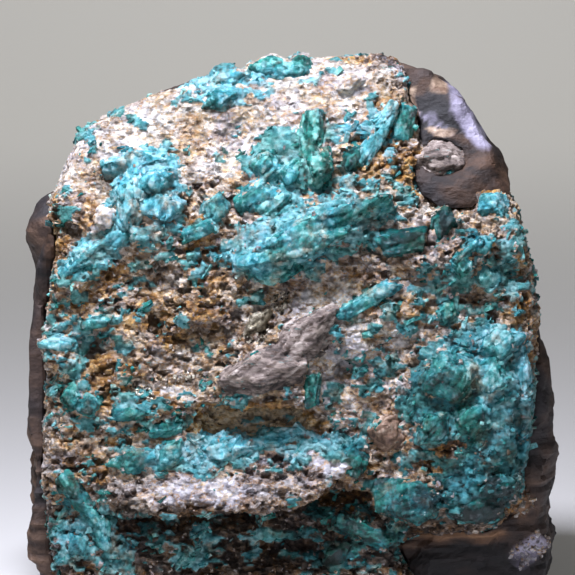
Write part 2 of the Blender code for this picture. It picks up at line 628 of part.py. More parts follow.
def main():
    for obj in list(bpy.data.objects):
        bpy.data.objects.remove(obj)
    materials = {name: material(name, *look) for name, look in MATERIALS.items()}
    slab, vein = settled(slab_mesh()), settled(vein_mesh())
    crust = weathered(settled(combined(slab.copy(), "INTERSECT", [vein])), crust_shift)
    wall = weathered(settled(combined(slab, "DIFFERENCE", [vein])), wall_shift)
    wall = sawn(settled(combined(wall, "DIFFERENCE", [fattened(crust, CRUST_GAP)])), WALL_SHARE)
    crust = sawn(crust, CRUST_SHARE)
    tree = surface_tree(crust, wall)
    rng = random.Random(7)
    cutters, rooms = [], []
    for name, (slot, parts) in CRYSTALS.items():
        bodies = [crystal_part(tree, *part, rng) for part in parts]
        piece = tidy(without(joined(bodies), cutters), name, 30 + 32 * len(parts))
        link(name, piece).data.materials.append(materials[slot])
        cutters += [fattened(body, FIT_GAP) for body in bodies]
        rooms += [fattened(body, POCKET_GAP) for body in bodies]
    rocks = (("vein_crust", crust, "calcite_vein", CRUST_FACETS), ("wall_rock", wall, "shale", WALL_FACETS))
    for name, rock, slot, most in rocks:
        link(name, tidy(without(rock, rooms), name, most)).data.materials.append(materials[slot])
    centre_on_base()


if __name__ == "__main__":
    main()
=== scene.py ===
"""Emerald on matrix: looks for the hand specimen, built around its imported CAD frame."""

import json
import math
from collections import namedtuple

import bmesh
import bpy
import numpy as np
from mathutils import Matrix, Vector


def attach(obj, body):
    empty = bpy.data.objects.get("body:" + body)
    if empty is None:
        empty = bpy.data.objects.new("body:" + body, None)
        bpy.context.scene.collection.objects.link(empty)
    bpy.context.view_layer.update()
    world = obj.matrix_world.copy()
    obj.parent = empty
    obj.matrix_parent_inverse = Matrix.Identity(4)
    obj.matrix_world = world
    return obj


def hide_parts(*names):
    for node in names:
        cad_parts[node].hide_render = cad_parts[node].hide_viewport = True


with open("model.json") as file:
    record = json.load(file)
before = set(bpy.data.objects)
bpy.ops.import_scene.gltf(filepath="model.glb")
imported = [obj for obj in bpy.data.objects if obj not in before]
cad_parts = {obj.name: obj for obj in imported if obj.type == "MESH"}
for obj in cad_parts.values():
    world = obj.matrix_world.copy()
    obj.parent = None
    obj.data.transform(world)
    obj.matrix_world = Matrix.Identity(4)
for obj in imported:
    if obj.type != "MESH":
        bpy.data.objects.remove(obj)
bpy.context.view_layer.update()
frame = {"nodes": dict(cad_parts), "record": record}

# ------------------------------------------------------------------------------------------------------------
# Wall rock: dark grey shale, split from the hillside with the vein still on it. Its faces are natural breaks
# that follow the bedding, dulled and browned by weather, and the base is sawn flat.

MM = 0.001
MM_PER_M = 1000
SHALE_GRAIN_MM = 1.05       # faces of the skin
SHALE_PROUD_MM = 0.15       # how far the skin stands out from the solid
SHALE_DRAWN = (0.6, 0.9, 1.3)   # broken faces are longer along the beds than across them
BLOCK_MM = 13.0             # large broken faces
CHIP_MM = 5.2               # small broken faces on them
BED_MM = 3.8                # thickness of a bed
BLOCK_RELIEF_MM, CHIP_RELIEF_MM, BED_RELIEF_MM = 0.6, 0.3, 0.35
JOINT_DEPTH_MM, CRACK_DEPTH_MM = 0.1, 0.15
FACE_SHIFT = -0.387         # the middle of the face, from the origin, in mm
PATCH_RAGGED_MM, PATCH_LUMP_MM = 1.6, 4.0   # how far a patch's edge wanders, and over what length
PATCH_REACH = 1.35          # raises a patch's share, so that noise breaks its edge and leaves the rest alone

# Patches on the face are soft ellipses: (across, up, half length, half width, tilt in degrees, share), in mm.
CALCITE_SCAB = [(45.8, 16.9, 4.6, 2.8, 30, 1.0)]
STAINED_LEDGE = [(43.7, 26.3, 3.0, 2.4, 0, 1.0)]
SHALE_PALE = CALCITE_SCAB + [
    (33.2, 100.6, 7.4, 2.5, -62, 1.0), (25.6, 100.5, 4.2, 0.7, -52, 0.8), (28.3, 99.5, 4.0, 0.6, -50, 0.7),
]
SHALE_LIGHT = STAINED_LEDGE + [(30, 20.2, 12, 1.5, 0, 1.0)]
SHALE_DARK = [
    (27.3, 101.5, 6.5, 2.0, -40, 1.0), (38, 15.6, 14, 2.4, -4, 1.0), (40, 10, 14, 3, 0, 0.8),
    (30, 104, 0.8, 3, 0, 0.8), (31, 95, 10, 15, 0, 0.55),
]
SHALE_BROWN = STAINED_LEDGE + [
    (36, 88, 8, 7, 0, 0.95), (-46.4, 80, 1.2, 9, 0, 0.9), (31, 96.6, 3, 0.9, -30, 1.0),
    (24.4, 107, 2, 1.6, 0, 1.0), (30, 19.6, 12, 2.2, 0, 1.0),
]
SHALE_CREAM = [
    (27.6, 106, 2.4, 1.6, -50, 1.0), (28.2, 98.2, 3.0, 1.1, -8, 0.9), (22.8, 103, 1.6, 4.0, 0, 0.8),
]

# Colours run from the darkest tone to the lightest.
FRESH_SHALE = ("#131011", "#2b2627", "#454041", "#696263")
STAINED_SHALE = ("#24170f", "#513a2a", "#866549", "#b7977a")
BLEACHED_SHALE = ("#4b474f", "#868090", "#b0aaba", "#d6d1dd")
LIMY_SHALE = ("#6d5645", "#b79f87", "#e2d3c1", "#f7efe4")


def linear(code):
    """An sRGB hex code as a linear colour."""
    parts = [int(code[i:i + 2], 16) / 255 for i in (1, 3, 5)]
    return [c / 12.92 if c <= 0.04045 else ((c + 0.055) / 1.055) ** 2.4 for c in parts] + [1.0]


def lattice(cells, seed):
    """A fixed number from 0 to 1 for each whole-numbered cell. The large numbers only scramble its bits."""
    h = cells[:, 0] * 73856093 ^ cells[:, 1] * 19349663 ^ cells[:, 2] * 83492791 ^ seed * 40503661
    h = (h ^ (h >> 13)) * 1274126177 & 0xFFFFFFFF
    h = (h ^ (h >> 15)) * 2246822519 & 0xFFFFFFFF
    return ((h ^ (h >> 16)) & 0xFFFFFF) / 0x1000000


def clouds(points, size_mm, seed):
    """Soft variation from -1 to 1 over lumps of a size."""
    q = points / size_mm
    base = np.floor(q).astype(np.int64)
    f = q - base
    f = f * f * (3 - 2 * f)
    total = np.zeros(len(points))
    for corner in np.ndindex(2, 2, 2):
        weight = np.prod(np.where(np.array(corner) == 1, f, 1 - f), axis=1)
        total += weight * lattice(base + np.array(corner), seed)
    return 2 * total - 1


Facets = namedtuple("Facets", "height middle edge cell")


def broken(points, size_mm, seed):
    """Broken stone as flat facets, each with its own tilt. For each point: its height, the middle of its
    facet, how far it is from the facet's edge, and the facet's cell, which gives the facet its own random
    numbers."""
    q = points / size_mm
    base = np.floor(q).astype(np.int64)
    nearest = np.full(len(points), np.inf)
    second = nearest.copy()
    middle = np.zeros_like(q)
    owner = np.zeros_like(base)
    for step in np.ndindex(3, 3, 3):
        cell = base + np.array(step) - 1
        centre = cell + np.stack([lattice(cell, seed + k) for k in range(3)], axis=1)
        away = ((q - centre) ** 2).sum(axis=1)
        closer = away < nearest
        second = np.where(closer, nearest, np.minimum(second, away))
        nearest = np.where(closer, away, nearest)
        middle[closer] = centre[closer]
        owner[closer] = cell[closer]
    tilt = np.stack([lattice(owner, seed + 7 + k) for k in range(3)], axis=1) * 2 - 1
    height = ((q - middle) * tilt).sum(axis=1)
    return Facets(height, middle * size_mm, np.sqrt(second) - np.sqrt(nearest), owner)


def ramp(low, high, value):
    """A smooth step from 0 at low to 1 at high, which may be the smaller of the two."""
    t = np.clip((value - low) / (high - low), 0, 1)
    return t * t * (3 - 2 * t)


def share(points, zones):
    """How much of the patches there is at each point of the face, with ragged edges."""
    x = points[:, 0] - FACE_SHIFT + PATCH_RAGGED_MM * clouds(points, PATCH_LUMP_MM, seed=301)
    z = points[:, 2] + PATCH_RAGGED_MM * clouds(points, PATCH_LUMP_MM, seed=302)
    total = np.zeros(len(points))
    for across, up, length, width, tilt, most in zones:
        c, s = math.cos(math.radians(tilt)), math.sin(math.radians(tilt))
        u, v = x - across, z - up
        away = np.hypot((u * c + v * s) / length, (v * c - u * s) / width)
        total = np.maximum(total, most * (1 - ramp(0.7, 1.25, away)))
    return total


def grown(mesh, out_mm, shift_mm=(0, 0, 0)):
    """A welded copy of a mesh whose surface stands out a little, and which may be shifted."""
    bm = bmesh.new()
    bm.from_mesh(mesh)
    bmesh.ops.remove_doubles(bm, verts=bm.verts, dist=1e-6)
    bm.normal_update()
    sharpest = 1.8
    moves = [v.normal * min(sharpest, v.calc_shell_factor()) * out_mm * MM for v in bm.verts]
    for vert, move in zip(bm.verts, moves):
        vert.co += move + Vector(shift_mm) * MM
    copy = bpy.data.meshes.new("grown")
    bm.to_mesh(copy)
    bm.free()
    return copy


def apply_modifiers(piece):
    """Makes a piece's modifiers part of its mesh."""
    graph = bpy.context.evaluated_depsgraph_get()
    graph.update()
    piece.data = bpy.data.meshes.new_from_object(piece.evaluated_get(graph))
    piece.modifiers.clear()
    piece.data.name = piece.name


def soften(piece):
    """Rounds off the steps that the remesh leaves."""
    bm = bmesh.new()
    bm.from_mesh(piece.data)
    bmesh.ops.smooth_vert(bm, verts=bm.verts, factor=0.5, use_axis_x=True, use_axis_y=True, use_axis_z=True)
    bm.to_mesh(piece.data)
    bm.free()


def fine_piece(name, meshes, grain_mm):
    """A new object: some closed meshes joined in one soft skin of even faces of a size."""
    bm = bmesh.new()
    for mesh in meshes:
        bm.from_mesh(mesh)
    joined = bpy.data.meshes.new(name)
    bm.to_mesh(joined)
    bm.free()
    piece = bpy.data.objects.new(name, joined)
    bpy.context.scene.collection.objects.link(piece)
    skin = piece.modifiers.new("skin", "REMESH")
    skin.mode = "VOXEL"
    skin.voxel_size = grain_mm * MM
    apply_modifiers(piece)
    soften(piece)
    return piece


def places(mesh):
    """A mesh's points, in mm."""
    co = np.empty(len(mesh.vertices) * 3, np.float32)
    mesh.vertices.foreach_get("co", co)
    return co.reshape(-1, 3).astype(float) / MM


def normals(mesh):
    """The way that each point of a mesh faces."""
    no = np.empty(len(mesh.vertices) * 3, np.float32)
    mesh.vertex_normals.foreach_get("vector", no)
    return no.reshape(-1, 3).astype(float)


def place(mesh, points):
    """Moves a mesh's points, in mm. What stands on the base stays flat, and nothing goes below it."""
    near_base_mm = 0.35
    on_base = places(mesh)[:, 2] < near_base_mm
    points[on_base, 2] = 0
    points[:, 2] = np.maximum(points[:, 2], 0)
    mesh.vertices.foreach_set("co", (points * MM).astype(np.float32).ravel())
    mesh.update()


def store(mesh, name, values):
    """Keeps a number for each point of a mesh under a name that its material reads."""
    mesh.attributes.new(name, "FLOAT", "POINT").data.foreach_set("value", values.astype(np.float32))


def new_material(name):
    """A material with its node tree and its shader."""
    made = bpy.data.materials.new(name)
    made.use_nodes = True
    tree = made.node_tree
    return made, tree, tree.nodes["Principled BSDF"]


def add(tree, kind, output, links=(), stops=(), **settings):
    """Adds a shader node with its settings, sets or links its inputs, spreads colour stops along it if it has
    any, and returns one of its outputs."""
    node = tree.nodes.new("ShaderNode" + kind)
    for key, value in settings.items():
        setattr(node, key, value)
    for socket, value in dict(links).items():
        target = node.inputs[socket]
        if isinstance(value, bpy.types.NodeSocket):
            tree.links.new(value, target)
        else:
            target.default_value = value
    while stops and len(node.color_ramp.elements) < len(stops):
        node.color_ramp.elements.new(0.5)
    for i, code in enumerate(stops):
        node.color_ramp.elements[i].position = i / (len(stops) - 1)
        node.color_ramp.elements[i].color = linear(code)
    return node.outputs[output]


def varied(tree, value, pattern, amount, middle=0.5):
    """A value raised and lowered by a pattern around its middle, kept from 0 to 1."""
    part = add(tree, "Math", "Value", {0: pattern, 1: amount, 2: -amount * middle}, operation="MULTIPLY_ADD")
    return add(tree, "Math", "Value", {0: value, 1: part}, operation="ADD", use_clamp=True)


def laid_over(tree, colour, cover, tone, codes):
    """A colour covered in part by a mineral, whose tone picks one of its colours."""
    over = add(tree, "ValToRGB", "Color", {"Fac": tone}, stops=codes)
    return add(tree, "Mix", "Result", {"Factor": cover, "A": colour, "B": over}, data_type="RGBA")


def shale_material():
    """Grey carbonaceous shale: nearly black inside, brown along joints, lilac-grey where it is bleached.
    Broken and weathered, it is dull and finely layered."""
    made, tree, shader = new_material("shale")
    coords = add(tree, "TexCoord", "Object")
    beds = add(tree, "VectorMath", "Vector", {0: coords, 1: (0.8, 1.0, 1.3)}, operation="MULTIPLY")
    read = {n: add(tree, "Attribute", "Fac", attribute_name=n) for n in ("stain", "pale", "cream", "tone")}
    patterns = {"fine": (5.0, 12, 0.72), "silt": (1.2, 5, 0.7), "relief": (2.2, 9, 0.66)}
    noise = {n: add(tree, "TexNoise", "Fac", {"Vector": beds, "Scale": MM_PER_M / size_mm, "Detail": detail,
                                              "Roughness": roughness})
             for n, (size_mm, detail, roughness) in patterns.items()}
    tone = varied(tree, varied(tree, read["tone"], noise["fine"], 0.4), noise["silt"], 0.4)
    colour = add(tree, "ValToRGB", "Color", {"Fac": tone}, stops=FRESH_SHALE)
    colour = laid_over(tree, colour, read["stain"], tone, STAINED_SHALE)
    for patch, codes in (("pale", BLEACHED_SHALE), ("cream", LIMY_SHALE)):
        ragged = varied(tree, read[patch], noise["fine"], 2.0, middle=PATCH_REACH / 2)
        colour = laid_over(tree, colour, ragged, tone, codes)
    tree.links.new(colour, shader.inputs["Base Color"])
    shader.inputs["Roughness"].default_value = 0.66
    bump = add(tree, "Bump", "Normal", {"Height": noise["relief"], "Strength": 0.9, "Distance": 0.0006})
    tree.links.new(bump, shader.inputs["Normal"])
    return made


node_meshes = {name: node.data for name, node in frame["nodes"].items()}


def shale_wall():
    """The wall rock's skin: broken faces cut by thin beds, which show most low on the front."""
    piece = fine_piece("shale_wall_skin", [grown(node_meshes["wall_rock"], SHALE_PROUD_MM)], SHALE_GRAIN_MM)
    mesh = piece.data
    points, outward = places(mesh), normals(mesh)
    drawn = points * np.array(SHALE_DRAWN)
    blocks, chips = broken(drawn, BLOCK_MM, seed=17), broken(drawn, CHIP_MM, seed=11)
    level = (points[:, 2] + 0.12 * points[:, 0] + 1.8 * clouds(points, 13.0, seed=33)) / BED_MM
    bed = np.repeat(np.floor(level).astype(np.int64)[:, None], 3, axis=1)
    joint = 1 - ramp(0.0, 0.16, 0.5 - abs(level % 1 - 0.5))
    layers = clouds(points * np.array([0.14, 0.3, 1.0]), 1.0, seed=31)
    front = 1 - ramp(0.0, 0.5, outward[:, 1])
    low = 1 - ramp(30, 50, points[:, 2])
    height = BLOCK_RELIEF_MM * blocks.height + CHIP_RELIEF_MM * chips.height
    height += BED_RELIEF_MM * (lattice(bed, 34) - 0.5)
    height -= JOINT_DEPTH_MM * joint
    height -= CRACK_DEPTH_MM * (1 - ramp(0.0, 0.16, chips.edge))
    height += (0.06 + 0.45 * front * low) * layers
    height *= 1 - 0.65 * front * (1 - low)
    place(mesh, points + outward * height[:, None])

    rust = clouds(points, 9.0, seed=41) + 0.6 * clouds(points, 3.0, seed=42)
    rust += 0.3 * ramp(40, 50, points[:, 0])
    rust += 0.9 * ramp(-40, -50, points[:, 0]) * ramp(84, 78, points[:, 2])
    store(mesh, "stain", np.maximum(0.5 * ramp(-0.3, 0.9, rust), front * share(points, SHALE_BROWN)))
    tone = 0.26 + 0.16 * lattice(chips.cell, 44)
    tone += 0.26 * (lattice(bed, 35) - 0.35) * (1 - 0.7 * front * (1 - low))
    tone += 0.1 * layers - 0.16 * joint
    patches = 0.4 * share(points, SHALE_LIGHT) - 0.4 * share(points, SHALE_DARK)
    patches += 0.3 * share(points, SHALE_PALE)
    store(mesh, "tone", tone + front * (patches + 0.3 * low * layers))
    store(mesh, "pale", PATCH_REACH * front * share(points, SHALE_PALE))
    store(mesh, "cream", PATCH_REACH * front * share(points, SHALE_CREAM))
    mesh.materials.append(shale_material())
    return piece


shale = shale_wall()
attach(shale, "root")
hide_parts("wall_rock")

# ------------------------------------------------------------------------------------------------------------
# Vein crust: white to lilac calcite with albite and very small emerald, grown together as one coarse granular
# crust. Weather has stained it orange and brown and left pores, darkened with dirt and painted shade. It
# passes below the larger crystals.

CRUST_GRAIN_MM = 0.5
CRUST_PROUD_MM = 0.45
COARSE_MM, SMALL_MM = 2.3, 1.1      # knots of grains, and the grains
COARSE_RELIEF_MM, SMALL_RELIEF_MM, FINE_RELIEF_MM = 0.65, 0.42, 0.16
PORE_DEPTH_MM, SEAM_DEPTH_MM = 1.1, 0.4
EMERALD_PROUD_MM = 0.5              # the small emerald is harder than the calcite and stands out
GRAIN_WAY = np.array([[0.72, 0, 0.26], [0, 1, 0], [-0.35, 0, 1.15]])     # the grains lean and are drawn out
ROOT_PROUD_MM, ROOT_SHIFT_MM = 0.55, (0, 1.3, 0)    # the crust's own form of each crystal, just behind it
BACK_SHARE = 0.64                   # faces kept once the side that faces the wall is thinned

SMALL_EMERALDS = [
    (-20, 104), (-17.7, 104), (-35, 101), (-40.5, 97), (-29.6, 99), (-26, 94.6), (-44, 70), (-41.6, 66.8),
    (-29.6, 73.5), (-29.6, 69.7), (-25.3, 75), (-19.6, 75.2), (-18.2, 71.8), (-5.3, 96.3), (6.5, 99),
    (14.3, 100), (-8.7, 67.4), (24.9, 73.3), (23.4, 68.1), (18.2, 65.1), (38.2, 49.1), (-25.5, 47.2),
    (-46.2, 49.5), (-32.3, 58.2), (-32.1, 52), (-40.7, 51), (-28.5, 64.5), (-21.3, 62.6), (-12.4, 49.9),
    (18.4, 53.9), (-44.3, 24.6), (-33, 15.5), (-24.3, 24.2), (-16.2, 25.3), (-5.5, 22), (4.4, 21.7),
    (9.7, 15.9), (17.3, 19.2),
]
EMERALD_ZONES = [
    (34, 45, 15, 20, 0, 0.82), (36, 74, 12, 8, 0, 0.6), (3, 80, 22, 8, 20, 0.7), (-2, 91, 9, 8, 0, 0.65),
    (-28, 86, 9, 9, 0, 0.65), (-38, 76, 9, 4, 40, 0.7), (18, 66, 12, 5, 28, 0.45), (28, 62, 10, 6, 0, 0.5),
    (-10, 37.6, 24, 3.6, 5, 0.8), (-40, 24, 8, 10, 0, 0.55), (10, 20, 14, 6, 0, 0.6),
    (-30, 18, 18, 6, 0, 0.55), (-30, 46, 14, 6, 0, 0.35), (-44, 55, 5, 14, 0, 0.45),
    (-10, 107, 12, 4, 0, 0.6), (12, 96, 12, 6, 0, 0.35), (13, 53, 10, 12, 0, 0.27),
    (-40.5, 22.4, 2.5, 1.3, 10, 1.2), (-42.7, 16.9, 2.9, 1.7, 0, 1.2), (-34, 16.1, 3.0, 1.6, 0, 1.1),
    (-16.5, 25.5, 2.0, 1.5, 0, 1.1), (-5.1, 21.3, 3.4, 1.6, 10, 1.1), (-8.5, 17.8, 0.9, 3.4, 0, 1.1),
    (-19.4, 16.9, 4.0, 2.0, 0, 1.0),
]
EMERALD_ZONES += [(x, z, 2.3, 1.2, (37 * i) % 70 - 20, 1.1) for i, (x, z) in enumerate(SMALL_EMERALDS)]
DEEP_GREEN = [
    (34, 29, 15, 8, 0, 1.0), (22, 28, 8, 6, 0, 0.9), (9, 20, 11, 7, 0, 0.8), (25, 50, 8, 9, 0, 0.6),
    (28, 79, 9, 4, 0, 0.6), (-38, 24, 9, 9, 0, 0.3), (15, 36, 6, 5, 0, 0.7), (36, 40, 10, 6, 0, 0.6),
    (28, 46, 6, 6, 0, 0.6), (13, 53, 9, 10, 0, 0.5),
]
LIGHT_BLUE = [
    (-28, 88, 10, 9, 0, 0.9), (-9, 38.5, 19, 3.4, 6, 1.0), (-40, 76, 10, 4, 40, 0.6),
    (-12, 106, 11, 4, 0, 1.0), (16, 98, 5, 6, 58, 0.9), (43, 50, 3.4, 13, 0, 0.9), (20, 71, 5, 4, 30, 0.6),
    (-45, 58, 4, 3, 0, 0.7), (37, 82, 5, 5, 0, 0.7), (-4, 108, 8, 3, 0, 0.8), (-3.5, 87, 6, 5, 0, 0.5),
    (36, 58, 9, 6, 0, 0.3), (42, 30, 4, 5, 0, 0.5), (32, 29, 13, 5, 0, 0.5), (39, 52, 5, 12, 0, 0.6),
    (-38, 20, 8, 6, 0, 0.8), (-16, 20, 10, 6, 0, 0.5), (-2, 79, 20, 7, 20, 0.5),
]
CLEAR_GREEN = [
    (4, 95, 4, 7, 0, 1.0), (28, 79, 5, 3, 0, 0.6), (12, 81, 7, 3, 20, 0.4), (-45, 68, 4, 4, 0, 0.6),
]
STAIN_ZONES = [
    (-8, 43, 14, 5, 0, 1.0), (-11.2, 92.4, 3, 3, 0, 0.8), (-35.9, 86, 4, 5, 0, 0.8),
    (-14, 74.9, 5, 3, 0, 0.7), (23, 64.9, 5, 3, 20, 0.7), (10.6, 70.6, 6, 2.5, 20, 0.6),
    (22.4, 91, 5, 4, 0, 0.9), (41, 74.9, 3, 4, 0, 0.9), (-38, 34.2, 4, 3, 0, 0.8),
    (33, 36.7, 3.8, 2.3, 0, 1.0), (43.7, 26.3, 2.7, 2.1, 0, 1.0), (36, 90, 6, 5, 0, 0.9),
    (-28, 56, 22, 8, 0, 0.36), (24, 89, 6, 3, 20, 0.9), (-20, 24, 12, 3, 0, 0.7), (9.0, 27, 7, 3, 0, 0.8),
    (-6, 20, 14, 5, 0, 0.5), (-30, 66, 16, 5, 0, 0.35), (-46, 68, 4, 10, 0, 0.6),
]
# Ochre-stained patches, chiefly the hollow under an overhang; their lift in tone is painted light where the
# hollow is shaded.
OCHRE_ZONES = [
    (-7, 42.6, 12, 2.6, 4, 1.0), (-34.8, 18.4, 5.5, 0.8, 3, 0.6), (-28.5, 28, 2.3, 1.8, 0, 0.6),
    (-24, 19, 3, 0.9, -20, 0.5), (-11.2, 92.4, 3, 3, 0, 0.4), (-36, 60, 9, 5, 0, 0.3),
    (18, 62, 9, 3, 20, 0.3),
]
WHITE_ZONES = [
    (-47.5, 63, 2.0, 2.4, 0, 1.0), (-12, 103, 27, 8, 12, 1.0), (1, 104, 13, 6, 0, 1.0),
    (-18, 30.5, 10, 2.8, 0, 1.0), (6.4, 37, 4.4, 3.6, 0, 1.0), (10, 107, 8, 3, 0, 1.0),
    (-35, 79, 4, 4, 0, 0.9), (11, 54, 10, 10, 0, 0.9), (-40, 92, 7, 8, 0, 0.9), (26, 70, 8, 3, 10, 0.6),
    (21.8, 108.6, 2.8, 1.0, -60, 1.0), (-18, 95, 14, 6, 0, 0.8), (-4, 31.5, 9, 2.0, 0, 0.4),
    (-20.5, 49.3, 5, 1.3, -8, 1.0), (6, 67, 7, 4, 30, 0.8),
]
LILAC_ZONES = [
    (-18, 30.5, 11, 3.2, 0, 1.0), (-4, 31.5, 9, 2.2, 0, 0.6), (6.4, 37, 5, 4, 0, 1.0),
    (12, 52, 9, 9, 0, 0.7), (-46, 18, 5, 6, 0, 0.9), (10, 107, 6, 2.2, 0, 1.0), (-35, 79, 4, 4, 0, 1.0),
    (-42, 96, 5, 5, 0, 0.7), (-13, 96, 6, 4, 0, 0.6), (-16, 64, 5, 4, 0, 0.5), (24, 70, 5, 3, 0, 0.5),
    (-2, 102, 5, 3, 0, 0.6), (21.8, 108.6, 2.8, 1.0, -60, 1.0),
]
GREY_ZONES = [
    (-4.6, 36.3, 3.2, 1.5, 0, 1.0), (1.4, 33.2, 2.2, 2.2, 0, 0.8), (29, 39.5, 3.4, 1.4, 0, 0.8),
    (24, 34.8, 3.2, 1.2, 10, 0.8), (20, 111.6, 5.0, 1.8, -10, 0.9),
]
# Painted shade: dark patches in the hollows, under the lip, the ledges and the lobes, and towards the bottom.
PAINTED_SHADE_ZONES = [
    (-6, 47.8, 8, 1.2, 3, 0.7), (-22, 26, 14, 2.4, 0, 0.8), (-10, 23.6, 10, 2.6, 0, 0.7),
    (9, 28, 6, 2.4, 0, 0.7), (-38.8, 57.4, 3, 2.2, 0, 1.0), (-26, 62.4, 1.6, 1.4, 0, 0.9),
    (-35.2, 89, 1.6, 2.6, 0, 0.8), (6.2, 87.4, 1.8, 1.8, 0, 0.8), (9.6, 53, 1.2, 2.4, 0, 0.8),
    (-14, 20, 26, 2.4, 0, 0.75), (0, 15.5, 26, 2.0, 4, 0.75), (-34, 28, 6, 1.4, 0, 0.6),
    (-17, 59.6, 6, 1.2, 6, 0.7), (-43, 79.6, 3, 1.2, 0, 0.8), (30, 24.4, 12, 1.8, 0, 0.6),
    (-2, 20, 30, 6, 0, 0.5),
]

LILAC_CALCITE = ("#484446", "#7c777b", "#ada8ae", "#d3cfd5", "#f0eef1")
CREAM_CALCITE = ("#574b40", "#998c7c", "#cec6ba", "#e5e1d9", "#f3f1ed")
IRON_STAIN = ("#1d130a", "#66451d", "#ab7a3b", "#d2a968", "#ebd7b2")
STONE_WITH_BERYL = ("#24403c", "#67857f", "#b3c4be")
# The pits are darkened with dirt and painted shade; the pores and the shaded patches take painted shade.
PORE_DIRT_AND_SHADE, PORE_SHADE = "#2b1b10", "#1a110c"
PALE_GREENS = ("#0b3430", "#26655f", "#4f918a", "#8dc1b9")
PALE_BLUES = ("#124852", "#31808d", "#5dadb9", "#a3d3dd")
FROSTED_BERYL = ("#124a4e", "#86bcc0", "#c8dfe3")
RUSTY_BERYL = ("#1f1a10", "#67563b", "#c2b195")


def minerals(points, chance, seed):
    """What grows at each point, from its place and a chance from 0 to 1: (emerald, stain, white, dark), where
    dark is painted shade in hollows, under ledges and towards the bottom.
    """
    patch = 0.5 + 0.35 * clouds(points, 3.6, seed) + 0.2 * clouds(points, 1.7, seed + 5)
    luck = np.clip(0.5 + 2.0 * (0.4 * chance + 0.6 * patch - 0.5), 0, 1)
    white = share(points, WHITE_ZONES)
    near_emerald = share(points, EMERALD_ZONES) * (1 - share(points, GREY_ZONES))
    green = ramp(-0.05, 0.05, np.maximum(near_emerald, 0.13 - 0.1 * white) - luck)
    rust = 0.5 + 0.4 * clouds(points, 6.0, seed + 1) + 0.25 * clouds(points, 2.2, seed + 2) - 0.3 * white
    speckle = 0.2 * lattice((points * 40).astype(np.int64), seed)
    stain = ramp(0.1, 0.9, np.maximum(share(points, STAIN_ZONES), rust) - speckle)
    return green, stain * (1 - green) * (1 - 0.6 * near_emerald.clip(0, 1)), white, share(points, PAINTED_SHADE_ZONES)


def depth_of_green(points):
    """How light the emerald is at each point: paler on the left and the ledge, deep at the lower right."""
    lighter = 0.12 + 0.17 * share(points, LIGHT_BLUE) + 0.1 * share(points, CLEAR_GREEN)
    return lighter - 0.42 * share(points, DEEP_GREEN)


def blueness(points):
    """How blue the emerald is at each point, below 0 where it is a clear green."""
    return share(points, LIGHT_BLUE) - share(points, CLEAR_GREEN)


def thin_back(piece, ratio):
    """Leaves few faces on the side of a piece that faces the wall, to a share of its faces in all."""
    back = np.flatnonzero(normals(piece.data)[:, 1] > 0.55)
    group = piece.vertex_groups.new(name="back")
    group.add(back.tolist(), 1.0, "REPLACE")
    fewer = piece.modifiers.new("fewer", "DECIMATE")
    fewer.ratio, fewer.vertex_group, fewer.vertex_group_factor = ratio, "back", 1000
    apply_modifiers(piece)
    piece.vertex_groups.clear()


def smooth_where(mesh, chosen):
    """Shades the faces smooth that lie wholly on the chosen points, and the rest flat."""
    corners = np.empty(len(mesh.loops), np.int32)
    mesh.loops.foreach_get("vertex_index", corners)
    starts = np.empty(len(mesh.polygons), np.int32)
    mesh.polygons.foreach_get("loop_start", starts)
    wholly = np.minimum.reduceat(chosen[corners].astype(np.int8), starts)
    mesh.polygons.foreach_set("use_smooth", wholly.astype(bool))


def grain_colours(tree, coords, size_mm):
    """A fixed random colour for each small grain of a size, and the same colour's red part."""
    colour = add(tree, "TexVoronoi", "Color", {"Vector": coords, "Scale": MM_PER_M / size_mm})
    return colour, add(tree, "SeparateColor", "Red", {"Color": colour})


def facetted(tree, height, tilts, distance, amount):
    """A bumped normal that also tilts its own way on each small grain, so that grains glint one by one."""
    bump = add(tree, "Bump", "Normal", {"Height": height, "Strength": 1.0, "Distance": distance})
    tilt = add(tree, "VectorMath", "Vector", {0: tilts, 1: (0.5, 0.5, 0.5)}, operation="SUBTRACT")
    tilt = add(tree, "VectorMath", "Vector", {0: tilt, "Scale": amount}, operation="SCALE")
    turned = add(tree, "VectorMath", "Vector", {0: bump, 1: tilt}, operation="ADD")
    return add(tree, "VectorMath", "Vector", {0: turned}, operation="NORMALIZE")


def beryl_colour(tree, coords, tone, greens, blues, cloud, rust):
    """Emerald in the vein: blue-green with cloudy white and bluer parts, and brown iron in its cracks."""
    patterns = {"depth": (1.3, 7, 0.75), "blue": (5.0, 4, 0.65),
                "frost": (1.9, 7, 0.78), "iron": (4.0, 6, 0.66)}
    noise = {n: add(tree, "TexNoise", "Fac", {"Vector": coords, "Scale": MM_PER_M / size_mm, "Detail": detail,
                                              "Roughness": roughness})
             for n, (size_mm, detail, roughness) in patterns.items()}
    tone = varied(tree, tone, noise["depth"], 1.25)
    tone = varied(tree, tone, grain_colours(tree, coords, 1.1)[1], 0.3)
    covers = {"blue": (0.42, 0.62, 0.6), "frost": (0.54, 0.68, cloud), "iron": (0.52, 0.68, rust)}
    cover = {n: add(tree, "MapRange", "Result", {"Value": noise[n], "From Min": low, "From Max": high,
                                                 "To Max": most})
             for n, (low, high, most) in covers.items()}
    bluer = add(tree, "Attribute", "Fac", attribute_name="blue")
    colour = add(tree, "ValToRGB", "Color", {"Fac": tone}, stops=greens)
    colour = laid_over(tree, colour, varied(tree, cover["blue"], bluer, 0.45, middle=0), tone, blues)
    colour = laid_over(tree, colour, cover["frost"], tone, FROSTED_BERYL)
    return laid_over(tree, colour, cover["iron"], tone, RUSTY_BERYL)


